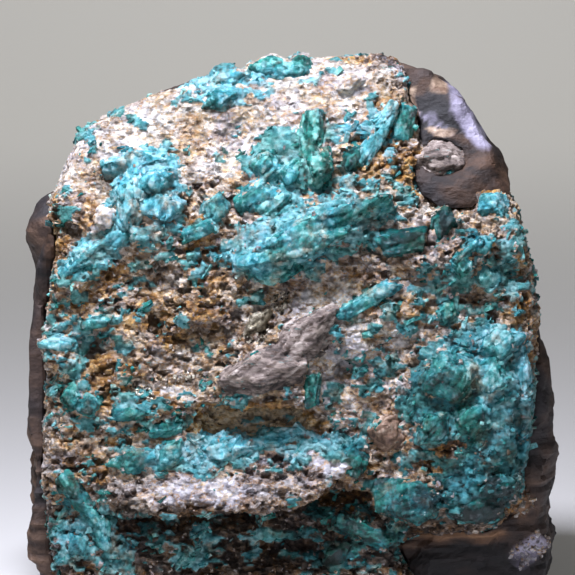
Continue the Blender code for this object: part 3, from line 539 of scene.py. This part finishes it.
def vein_material():
    """Vein stone, calcite with albite, as it broke: each grain has its own tone, from lilac-grey and cream to
    white, with teal where it is emerald. Fresh cleavage glints, iron fills the cracks, and small pits are
    darkened with dirt and painted shade."""
    made, tree, shader = new_material("calcite_vein_stone")
    coords = add(tree, "TexCoord", "Object")
    drawn = add(tree, "Mapping", "Vector", {"Vector": coords, "Rotation": (0, 0.3, 0),
                                            "Scale": (0.75, 1, 1.1)})
    read = {n: add(tree, "Attribute", "Fac", attribute_name=n)
            for n in ("emerald", "stain", "tone", "shade", "warm")}
    patterns = {"grit": (0.75, 8, 0.78), "patches": (2.6, 6, 0.7), "rust": (1.2, 7, 0.78),
                "cracks": (3.0, 6, 0.66), "pits": (1.1, 7, 0.8)}
    noise = {n: add(tree, "TexNoise", "Fac", {"Vector": drawn, "Scale": MM_PER_M / size_mm, "Detail": detail,
                                              "Roughness": roughness})
             for n, (size_mm, detail, roughness) in patterns.items()}
    tilts, grain = grain_colours(tree, drawn, 0.6)
    tone = varied(tree, varied(tree, read["tone"], noise["grit"], 1.2), grain, 0.26)
    tone = varied(tree, tone, noise["patches"], 0.9)

    off_line = add(tree, "Math", "Value", {0: noise["cracks"], 1: 0.5}, operation="SUBTRACT")
    off_line = add(tree, "Math", "Value", {0: off_line}, operation="ABSOLUTE")
    steps = {"line": (off_line, 0.030, 0.004, 1.0), "bare": (read["emerald"], 0.6, 0.0, 0.8),
             "tinged": (read["emerald"], 0.1, 0.9, 0.65), "pit": (noise["pits"], 0.45, 0.38, 0.85),
             "dirty": (read["stain"], -0.3, 0.45, 1.0)}
    step = {n: add(tree, "MapRange", "Result", {"Value": value, "From Min": low, "From Max": high,
                                                "To Max": most})
            for n, (value, low, high, most) in steps.items()}
    crack = add(tree, "Math", "Value", {0: step["line"], 1: step["bare"]}, operation="MULTIPLY")
    pits = add(tree, "Math", "Value", {0: step["pit"], 1: step["dirty"]}, operation="MULTIPLY")
    ragged = add(tree, "TexNoise", "Fac", {"Vector": coords, "Scale": MM_PER_M / 1.0, "Detail": 6,
                                           "Roughness": 0.75})
    emerald = add(tree, "MapRange", "Result", {"Value": varied(tree, read["emerald"], ragged, 1.6),
                                               "From Min": 0.36, "From Max": 0.64})

    stone = add(tree, "ValToRGB", "Color", {"Fac": tone}, stops=LILAC_CALCITE)
    stone = laid_over(tree, stone, read["warm"], tone, CREAM_CALCITE)
    stone = laid_over(tree, stone, varied(tree, read["stain"], noise["rust"], 2.6), tone, IRON_STAIN)
    stone = laid_over(tree, stone, crack, tone, IRON_STAIN)
    stone = laid_over(tree, stone, step["tinged"], tone, STONE_WITH_BERYL)
    beryl = beryl_colour(tree, coords, read["tone"], PALE_GREENS, PALE_BLUES, cloud=0.5, rust=0.8)
    for cover, over in ((pits, linear(PORE_DIRT_AND_SHADE)), (emerald, beryl), (read["shade"], linear(PORE_SHADE))):
        stone = add(tree, "Mix", "Result", {"Factor": cover, "A": stone, "B": over}, data_type="RGBA")
    tree.links.new(stone, shader.inputs["Base Color"])
    shader.inputs["Roughness"].default_value = 0.42
    tree.links.new(facetted(tree, noise["grit"], tilts, distance=0.0009, amount=0.8), shader.inputs["Normal"])
    return made


crystals = sorted(set(node_meshes) - {"wall_rock", "vein_crust"})


def vein_crust():
    """The crust's skin: knots of small grains with dark pores and seams between them, smoother where it is
    white calcite or ochre. It closes behind each crystal."""
    roots = [grown(node_meshes[name], ROOT_PROUD_MM, ROOT_SHIFT_MM) for name in crystals]
    outside = grown(node_meshes["vein_crust"], CRUST_PROUD_MM)
    piece = fine_piece("vein_crust_skin", [outside] + roots, CRUST_GRAIN_MM)
    thin_back(piece, BACK_SHARE)
    mesh = piece.data
    points, outward = places(mesh), normals(mesh)
    knots = broken(points @ GRAIN_WAY, COARSE_MM, seed=51)
    grains = broken(points @ GRAIN_WAY, SMALL_MM, seed=61)
    chance = 0.5 * lattice(knots.cell, 71) + 0.5 * lattice(grains.cell, 72)
    green, stain, white, dark = minerals(grains.middle @ np.linalg.inv(GRAIN_WAY), chance, 81)
    pores = ramp(0.80, 0.88, lattice(grains.cell, 91) + 0.3 * dark) * (1 - 0.8 * green) * (1 - 0.5 * white)
    stony = 1 - 0.8 * green
    ochre, grey = share(points, OCHRE_ZONES), share(points, GREY_ZONES)
    height = COARSE_RELIEF_MM * knots.height + SMALL_RELIEF_MM * grains.height * stony - PORE_DEPTH_MM * pores
    height += EMERALD_PROUD_MM * green
    height -= SEAM_DEPTH_MM * (1 - ramp(0.0, 0.22, knots.edge))
    height += FINE_RELIEF_MM * clouds(points, 0.95, seed=95) * stony
    calm = 1 - 0.6 * np.maximum(white, ochre) * (1 - green)
    seen = 1 - ramp(0.2, 0.6, outward[:, 1])
    place(mesh, points + outward * (height * seen * calm)[:, None])

    patchy = clouds(points, 5.0, seed=83)
    # Painted shade: the stone is darker towards the bottom. In the ochre zones the ochre is real, and its
    # lift in tone is painted light on the shaded hollow.
    stone_tone_and_painted_light = 0.17 * white * (1 - patchy) - 0.36 * ramp(33, 22, points[:, 2]) - 0.3 * grey + 0.55 * ochre
    tone = 0.26 + 0.34 * lattice(grains.cell, 101) + 0.24 * lattice(knots.cell, 102)
    warm = np.clip(0.7 + 0.8 * clouds(points, 4.5, seed=84), 0, 1)
    crack = 1 - ramp(0.0, 0.16, knots.edge)
    # Painted shade: the pores and the shaded patches are darkened for the shade that falls in them, and some
    # seams between knots as dirt and painted shade.
    shades = [0.68 * pores, 0.8 * dark * (1 - green), 0.45 * crack * ramp(0.3, 0.7, chance)]
    store(mesh, "emerald", green)
    store(mesh, "blue", blueness(points))
    store(mesh, "stain", np.clip(stain + 0.22 - 0.55 * white, 0.25 + 0.42 * patchy, 1) * (1 - green))
    store(mesh, "tone", tone + np.where(green > 0.5, depth_of_green(points), stone_tone_and_painted_light))
    store(mesh, "warm", warm * (1 - share(points, LILAC_ZONES + GREY_ZONES)))
    store(mesh, "shade", np.maximum.reduce(shades))
    smooth_where(mesh, green > 0.5)
    mesh.materials.append(vein_material())
    return piece


crust = vein_crust()
vein = crust.data.materials[0]
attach(crust, "root")
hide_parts("vein_crust")

# ------------------------------------------------------------------------------------------------------------
# Larger emeralds: six-sided crystals and broken masses of them, blue-green beryl full of fine cracks, with
# ridges along their length. They grew in the vein and stand in the crust.

EMERALD_GRAIN_MM = 0.37
CRYSTAL_PROUD_MM = 0.3
FACET_MM, RIDGE_MM = 1.7, 0.62
FACET_RELIEF_MM, RIDGE_RELIEF_MM, FACET_SEAM_MM = 0.42, 0.16, 0.2
CLAST_SHADE = [(-6, 49.5, 9, 3.6, 12, 1.0)]     # dirt and shade below the large shale fragment
BERYLS = {
    "emerald_pale": dict(
        greens=("#123f3d", "#387e79", "#64a8a1", "#a4d0c9"),
        blues=("#195660", "#3d98a6", "#67bdca", "#aedde6"), clear=0.1, cloud=0.5, rust=0.8),
    "emerald_green": dict(
        greens=("#05332d", "#156a5f", "#3c998b", "#90d2c6"),
        blues=("#0b434d", "#28808d", "#57afbc", "#a8dde6"), clear=0.15, cloud=0.5, rust=0.8),
    "emerald_dark": dict(
        greens=("#001f19", "#024a3e", "#077060", "#40ab96"),
        blues=("#02262b", "#06505a", "#15808a", "#58b8bc"), clear=0.35, cloud=0.25, rust=0.3),
}


def emerald_material(name, greens, blues, clear, cloud, rust):
    """Beryl as it grew and broke: blue-green and cloudy with cracks. Light goes a little way in, and its
    faces shine."""
    made, tree, shader = new_material(name)
    coords = add(tree, "TexCoord", "Object")
    tone = add(tree, "Attribute", "Fac", attribute_name="tone")
    tree.links.new(beryl_colour(tree, coords, tone, greens, blues, cloud, rust), shader.inputs["Base Color"])
    shader.inputs["Roughness"].default_value = 0.24
    shader.inputs["IOR"].default_value = 1.58
    shader.inputs["Transmission Weight"].default_value = clear
    shader.inputs["Subsurface Weight"].default_value = 0.2
    shader.inputs["Subsurface Radius"].default_value = (0.4, 1.0, 0.95)
    shader.inputs["Subsurface Scale"].default_value = 0.0004
    cracked = add(tree, "TexNoise", "Fac", {"Vector": coords, "Scale": MM_PER_M / 0.9, "Detail": 7,
                                            "Roughness": 0.75})
    tilts = grain_colours(tree, coords, 0.8)[0]
    tree.links.new(facetted(tree, cracked, tilts, distance=0.0008, amount=1.0), shader.inputs["Normal"])
    return made


def long_axis(points):
    """The direction that a crystal is longest in."""
    spread = points - points.mean(axis=0)
    return np.linalg.eigh(spread.T @ spread)[1][:, 2]


def crystal_piece(name, number, material, relief, lift):
    """A crystal's fine skin: broken facets stretched along the crystal, with ridges that run its length. Lift
    makes it lighter."""
    piece = fine_piece(name + "_skin", [grown(node_meshes[name], CRYSTAL_PROUD_MM)], EMERALD_GRAIN_MM)
    mesh = piece.data
    points, outward = places(mesh), normals(mesh)
    axis = long_axis(points)
    along = points @ axis
    drawn = points - 0.62 * along[:, None] * axis
    ridged = points - 0.9 * along[:, None] * axis
    facets = broken(drawn, FACET_MM, seed=400 + number)
    ridges = clouds(ridged, RIDGE_MM, seed=500 + number)
    seams = 1 - ramp(0, 0.2, facets.edge)
    height = relief * (FACET_RELIEF_MM * facets.height + RIDGE_RELIEF_MM * ridges - FACET_SEAM_MM * seams)
    place(mesh, points + outward * height[:, None])
    smooth_where(mesh, np.ones(len(points), bool))
    tone = lift + 0.2 + 0.5 * lattice(facets.cell, 600) + 0.16 * ridges + 0.12 * clouds(points, 2.6, seed=700)
    # The tone is darker along the facet seams, as dirt and painted shade in the cracks, and below the shale
    # fragment.
    tone += depth_of_green(points) - 0.2 * (1 - ramp(0, 0.15, facets.edge)) - 0.3 * share(points, CLAST_SHADE)
    store(mesh, "tone", tone)
    store(mesh, "blue", blueness(points))
    mesh.materials.append(material)
    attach(piece, "root")
    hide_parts(name)
    return piece


slots = {row["node"]: row["material_slot"] for row in frame["record"]["subparts"]}
beryl = {slot: emerald_material(slot + "_beryl", **look) for slot, look in BERYLS.items()}
for number, name in enumerate(n for n in crystals if n.startswith("emerald_")):
    crystal_piece(name, number, beryl[slots[name]], relief=1.0, lift=0.0)

# ------------------------------------------------------------------------------------------------------------
# Fragments and other minerals in the vein: two pieces of the grey shale that broke off and were sealed in,
# rhombs of white and of brown-pink calcite, and a knot of pyrite. All of them grew in the crust or are
# cemented in it.

CLAST_TONES = ("#241f1c", "#594d47", "#8d7f77", "#c6b9af")
CLAST_MOTTLES = ((3.0, 0.52, 0.64, "#a39488"), (1.8, 0.60, 0.67, "#5d8f8c"), (1.3, 0.55, 0.64, "#4f3d2f"))
CLAST_DRAWN = (0.5, 1, 1.5)     # its layers are drawn out, along a scale under 1
PINK_TONES = ("#402e24", "#876c58", "#c9b5a2")
PYRITE_TONES = ("#1c1914", "#8f8671", "#fbf4e2")
FRAGMENT_SEED = 60


def stone_material(name, tones, roughness, metal=0.0, mottles=(), drawn=(1, 1, 1)):
    """One broken mineral whose tone varies from grain to grain. A mottle is (size in mm, low, high, colour),
    and covers the stone where its noise is over high."""
    made, tree, shader = new_material(name)
    coords = add(tree, "TexCoord", "Object")
    coords = add(tree, "Mapping", "Vector", {"Vector": coords, "Rotation": (0, 0.35, 0), "Scale": drawn})
    fine = add(tree, "TexNoise", "Fac", {"Vector": coords, "Scale": MM_PER_M / 1.0, "Detail": 7,
                                         "Roughness": 0.75})
    tilts, grain = grain_colours(tree, coords, 0.6)
    tone = add(tree, "Attribute", "Fac", attribute_name="tone")
    tone = varied(tree, varied(tree, tone, fine, 1.3), grain, 0.3)
    colour = add(tree, "ValToRGB", "Color", {"Fac": tone}, stops=tones)
    for size_mm, low, high, code in mottles:
        spots = add(tree, "TexNoise", "Fac", {"Vector": coords, "Scale": MM_PER_M / size_mm, "Detail": 6,
                                              "Roughness": 0.75})
        spots = add(tree, "MapRange", "Result", {"Value": spots, "From Min": low, "From Max": high})
        colour = add(tree, "Mix", "Result", {"Factor": spots, "A": colour, "B": linear(code)},
                     data_type="RGBA")
    tree.links.new(colour, shader.inputs["Base Color"])
    shader.inputs["Roughness"].default_value = roughness
    shader.inputs["Metallic"].default_value = metal
    tree.links.new(facetted(tree, fine, tilts, distance=0.0004, amount=0.6), shader.inputs["Normal"])
    return made


# The shale is dull and mottled, the calcite's cleavage has a waxy shine, and the pyrite glints like metal.
grey_clast = stone_material("grey_shale_clast", CLAST_TONES, 0.6, mottles=CLAST_MOTTLES, drawn=CLAST_DRAWN)
pink_calcite = stone_material("iron_stained_calcite", PINK_TONES, 0.45)
pyrite = stone_material("pyrite", PYRITE_TONES, 0.3, metal=0.7)
HABITS = {  # material, relief, lift
    "shale_grey": (grey_clast, 1.1, 0.05), "calcite_pink": (pink_calcite, 1.0, 0.0),
    "calcite_white": (vein, 1.0, 0.28), "pyrite": (pyrite, 1.0, 0.0),
}
for number, name in enumerate(n for n in crystals if not n.startswith("emerald_")):
    mesh = crystal_piece(name, FRAGMENT_SEED + number, *HABITS[slots[name]]).data
    if slots[name] == "calcite_white":
        store(mesh, "warm", np.full(len(mesh.vertices), 0.5))
        store(mesh, "stain", 0.25 + 0.3 * clouds(places(mesh), 2.0, seed=97))

# ------------------------------------------------------------------------------------------------------------
# Loose-looking grains: broken calcite, clean and stained, splinters of emerald and flakes of pyrite, from a
# fifth of a millimetre to nearly four millimetres long. Each has grown fast to the stone that it stands on.

BLOCK_FORM, SPLINTER_FORM = (0.8, 0.7, 1.25), (0.6, 0.5, 1.9)   # across, deep and long, for a size of 1
CALCITE_COUNT, EMERALD_COUNT, SHALE_COUNT, PYRITE_COUNT = 5000, 1800, 600, 800
# A size is drawn from: the logarithm of the usual size in mm, its spread, the smallest and the largest in mm.
CALCITE_SIZES, EMERALD_SIZES = (-0.65, 0.36, 0.25, 1.2), (-0.1, 0.35, 0.5, 2.0)
SHALE_SIZES, PYRITE_SIZES = (-0.4, 0.36, 0.3, 1.5), (-0.95, 0.3, 0.2, 0.7)
# The way that grains lie along the face, and how much they stray from it.
CALCITE_WAY, EMERALD_WAY, PYRITE_WAY = ((0.5, 0, 0.4), 0.8), ((0.75, 0, 0.5), 0.5), ((0, 0, 1), 1.5)
CALCITE_SUNK, SPLINTER_SUNK = 0.28, 0.2     # how deep a grain sits, as a share of its size
PYRITE_ZONES = [
    (-7, 61.2, 3.0, 1.8, 45, 1), (-3, 66.8, 2.4, 2.4, 0, 1), (-9.9, 59.5, 1.8, 1.2, 45, 1),
    (-22.6, 52, 3.0, 1.2, 0, 1), (-29.3, 49.3, 3.0, 1.4, 0, 1),
]


def chip_shapes(count, cuts, seed, stretch):
    """Small broken shapes about 1 across, as (points, triangles): a block with its corners knocked off."""
    draw = np.random.default_rng(seed)
    made = []
    for _ in range(count):
        bm = bmesh.new()
        bmesh.ops.create_cube(bm, size=1)
        for _ in range(cuts):
            way = Vector(draw.normal(size=3)).normalized()
            bmesh.ops.bisect_plane(bm, geom=bm.verts[:] + bm.edges[:] + bm.faces[:], dist=1e-5,
                                   plane_co=way * draw.uniform(0.34, 0.5), plane_no=way, clear_outer=True)
            bmesh.ops.holes_fill(bm, edges=[e for e in bm.edges if e.is_boundary])
        bmesh.ops.recalc_face_normals(bm, faces=bm.faces[:])
        bmesh.ops.triangulate(bm, faces=bm.faces[:])
        bm.verts.index_update()
        made.append((np.array([v.co for v in bm.verts]) * np.array(stretch),
                     np.array([[v.index for v in f.verts] for f in bm.faces])))
        bm.free()
    return made


def turns(draw, count, axis, spread):
    """Turned axes for each of some grains: rows of (across, depth, length), the length near an axis."""
    length = np.array(axis) + draw.normal(size=(count, 3)) * spread
    length /= np.linalg.norm(length, axis=1)[:, None]
    side = np.cross(length, draw.normal(size=(count, 3)))
    side /= np.linalg.norm(side, axis=1)[:, None]
    return np.stack([side, np.cross(length, side), length], axis=1)


def seats(mesh, draw, count):
    """Places spread evenly over a mesh where it looks out of the stone, in mm, with the way each faces."""
    mesh.calc_loop_triangles()
    corners = np.empty(len(mesh.loop_triangles) * 3, np.int32)
    mesh.loop_triangles.foreach_get("vertices", corners)
    corners = places(mesh)[corners].reshape(-1, 3, 3)
    normal = np.cross(corners[:, 1] - corners[:, 0], corners[:, 2] - corners[:, 0])
    area = np.linalg.norm(normal, axis=1)
    normal /= np.maximum(area, 1e-9)[:, None]
    looks_out = normal[:, 1] < 0.15
    off_base = corners[:, :, 2].min(axis=1) > 1.0
    weight = area * looks_out * off_base
    middle = corners.mean(axis=1)
    order = np.lexsort(middle.round(3).T)
    order = order[draw.choice(len(order), count, p=weight[order] / weight.sum())]
    return middle[order], normal[order]


def strewn(name, shapes, spots, frames, sizes, values, material):
    """One object from a shape for each spot, each turned and sized, with stored numbers for each grain."""
    all_points, all_faces, kept = [], [], {key: [] for key in values}
    start = 0
    for i, spot in enumerate(spots):
        shape, faces = shapes[i % len(shapes)]
        all_points.append(shape * sizes[i] @ frames[i] + spot)
        all_faces.append(faces + start)
        start += len(shape)
        for key in values:
            kept[key].append(np.full(len(shape), values[key][i]))
    mesh = bpy.data.meshes.new(name)
    mesh.from_pydata((np.concatenate(all_points) * MM).tolist(), [], np.concatenate(all_faces).tolist())
    for key in values:
        store(mesh, key, np.concatenate(kept[key]))
    mesh.materials.append(material)
    piece = bpy.data.objects.new(name, mesh)
    bpy.context.scene.collection.objects.link(piece)
    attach(piece, "root")


def drawn_sizes(draw, count, usual, spread, smallest, largest):
    """A size in mm for each of some grains."""
    return draw.lognormal(usual, spread, count).clip(smallest, largest)


blocks = chip_shapes(count=14, cuts=4, seed=5, stretch=BLOCK_FORM)
splinters = chip_shapes(count=10, cuts=3, seed=6, stretch=SPLINTER_FORM)


def vein_grains(draw):
    """Calcite grains where the crust is stone, fewer in its white and dark parts, and emerald splinters
    where it is emerald."""
    spots, facing = seats(crust.data, draw, count=26000)
    green, stain, white, dark = minerals(spots, draw.uniform(size=len(spots)), 81)
    tone = draw.uniform(0.1, 0.9, len(spots))
    bare = np.maximum(0.75 * np.maximum(dark, share(spots, OCHRE_ZONES)), 0.85 * white)
    stony = np.flatnonzero((green <= 0.5) & (draw.uniform(size=len(spots)) > bare))[:CALCITE_COUNT]
    size = drawn_sizes(draw, len(stony), *CALCITE_SIZES)
    strewn("calcite_grains", blocks, spots[stony] - facing[stony] * CALCITE_SUNK * size[:, None],
           turns(draw, len(stony), *CALCITE_WAY), size,
           {"emerald": 0 * size,
            "stain": 0.8 * stain[stony] * draw.uniform(size=len(stony)) * (1 - white[stony]),
            "tone": 0.28 + 0.3 * tone[stony] + 0.18 * white[stony],
            "warm": draw.uniform(0, 1, len(stony)) * (1 - share(spots[stony], LILAC_ZONES)),
            "shade": 0 * size}, vein)
    leafy = np.flatnonzero(green > 0.5)[:EMERALD_COUNT]
    size = drawn_sizes(draw, len(leafy), *EMERALD_SIZES)
    size = size * (0.45 + 0.55 * ramp(0.0, 0.6, -facing[leafy, 1]))
    strewn("emerald_splinters", splinters, spots[leafy] - facing[leafy] * SPLINTER_SUNK * size[:, None],
           turns(draw, len(leafy), *EMERALD_WAY), size,
           {"tone": tone[leafy] + depth_of_green(spots[leafy]), "blue": blueness(spots[leafy])},
           beryl["emerald_green"])


def shale_grains(draw):
    """Calcite that is left on the shale at the lower right, where the vein broke off."""
    spots, facing = seats(shale.data, draw, count=30000)
    near = share(spots, CALCITE_SCAB + STAINED_LEDGE)
    scab = np.flatnonzero((near > 0.3) & (facing[:, 1] < -0.1))[:SHALE_COUNT]
    size = drawn_sizes(draw, len(scab), *SHALE_SIZES)
    strewn("calcite_grains_on_shale", blocks, spots[scab] - facing[scab] * SPLINTER_SUNK * size[:, None],
           turns(draw, len(scab), *CALCITE_WAY), size,
           {"emerald": 0 * size,
            "stain": 0.5 * draw.uniform(size=len(scab)) * share(spots[scab], SHALE_CREAM),
            "tone": draw.uniform(0.2, 0.75, len(scab)),
            "warm": draw.uniform(0.4, 1, len(scab)) * (1 - share(spots[scab], CALCITE_SCAB)),
            "shade": 0 * size}, vein)


def pyrite_flecks(draw):
    """Bright flakes of pyrite round the pyrite knot and in the middle of the crust."""
    spots, _ = seats(crust.data, draw, count=60000)
    flecks = np.flatnonzero(share(spots, PYRITE_ZONES) > 0.5)[:PYRITE_COUNT]
    size = drawn_sizes(draw, len(flecks), *PYRITE_SIZES)
    strewn("pyrite_flecks", blocks, spots[flecks], turns(draw, len(flecks), *PYRITE_WAY), size,
           {"tone": draw.uniform(0, 1.1, len(flecks))}, pyrite)


draw = np.random.default_rng(7)
vein_grains(draw)
shale_grains(draw)
pyrite_flecks(draw)

# ------------------------------------------------------------------------------------------------------------
# Studio: a sweep of pale paper, a small soft light near the stone on the left, a weak one in front, both of
# cool daylight, a wide one for the paper behind, and the camera. Lengths here are in metres.

HALF_WIDTH, FLOOR_FRONT, BEND_START, BEND_RADIUS, PAPER_TOP = 4.0, -3.5, 1.2, 0.8, 3.0
DAYLIGHT = "#ebeeff"
CAMERA_AIM = (-0.0016, -0.025, 0.0691)
CAMERA_AWAY, CAMERA_PITCH_DEG = 0.55, 8
LENS_MM, SENSOR_MM = 181.2, 36


def sweep(colour):
    """A pale floor that turns up into a backdrop."""
    bm = bmesh.new()
    last = [bm.edges.new([bm.verts.new((x, FLOOR_FRONT, 0)) for x in (-HALF_WIDTH, HALF_WIDTH)])]
    bend = [(BEND_START + BEND_RADIUS * math.sin(a), BEND_RADIUS - BEND_RADIUS * math.cos(a))
            for a in np.linspace(0.1, math.pi / 2, 14)]
    at = (FLOOR_FRONT, 0.0)
    for y, z in [(BEND_START, 0.0)] + bend + [(BEND_START + BEND_RADIUS, PAPER_TOP)]:
        made = bmesh.ops.extrude_edge_only(bm, edges=last)["geom"]
        moved = [part for part in made if isinstance(part, bmesh.types.BMVert)]
        bmesh.ops.translate(bm, verts=moved, vec=(0, y - at[0], z - at[1]))
        last, at = [part for part in made if isinstance(part, bmesh.types.BMEdge)], (y, z)
    for face in bm.faces:
        face.smooth = True
    mesh = bpy.data.meshes.new("backdrop")
    bm.to_mesh(mesh)
    bm.free()
    paper, _, shader = new_material("backdrop_paper")
    shader.inputs["Base Color"].default_value = linear(colour)
    shader.inputs["Roughness"].default_value = 0.9
    mesh.materials.append(paper)
    piece = bpy.data.objects.new("backdrop", mesh)
    bpy.context.scene.collection.objects.link(piece)


def soft_light(name, place, aim, size, power, colour):
    """A round area light that looks at a point."""
    light = bpy.data.lights.new(name, "AREA")
    light.shape, light.size, light.energy = "DISK", size, power
    light.color = linear(colour)[:3]
    lamp = bpy.data.objects.new(name, light)
    lamp.location = place
    lamp.rotation_euler = (Vector(aim) - Vector(place)).to_track_quat("-Z", "Y").to_euler()
    bpy.context.scene.collection.objects.link(lamp)


def studio_camera():
    """The camera, a little above the stone and looking down at its face."""
    pitch = math.radians(CAMERA_PITCH_DEG)
    back = Vector((0, -math.cos(pitch), math.sin(pitch)))
    camera = bpy.data.objects.new("camera", bpy.data.cameras.new("camera"))
    camera.data.lens, camera.data.sensor_width = LENS_MM, SENSOR_MM
    camera.data.clip_start = 0.01
    camera.location = Vector(CAMERA_AIM) + back * CAMERA_AWAY
    camera.rotation_euler = (-back).to_track_quat("-Z", "Y").to_euler()
    bpy.context.scene.collection.objects.link(camera)
    return camera


sweep("#cfcdc9")
soft_light("key", place=(-0.05, -0.125, 0.315), aim=(0, -0.01, 0.075), size=0.08, power=2.2, colour=DAYLIGHT)
soft_light("fill", place=(-0.12, -0.78, 0.22), aim=(0, -0.01, 0.06), size=0.3, power=1.15, colour=DAYLIGHT)
soft_light("wash", place=(0, 0.9, 1.3), aim=(0, 1.9, 0.3), size=0.8, power=14.0, colour="#ffffff")
world = bpy.data.worlds.new("studio")
world.use_nodes = True
world.node_tree.nodes["Background"].inputs["Color"].default_value = linear("#f2f2f2")
world.node_tree.nodes["Background"].inputs["Strength"].default_value = 0.08
scene = bpy.context.scene
scene.world = world
scene.camera = studio_camera()
scene.view_settings.view_transform = "Standard"
scene.view_settings.gamma = 0.94
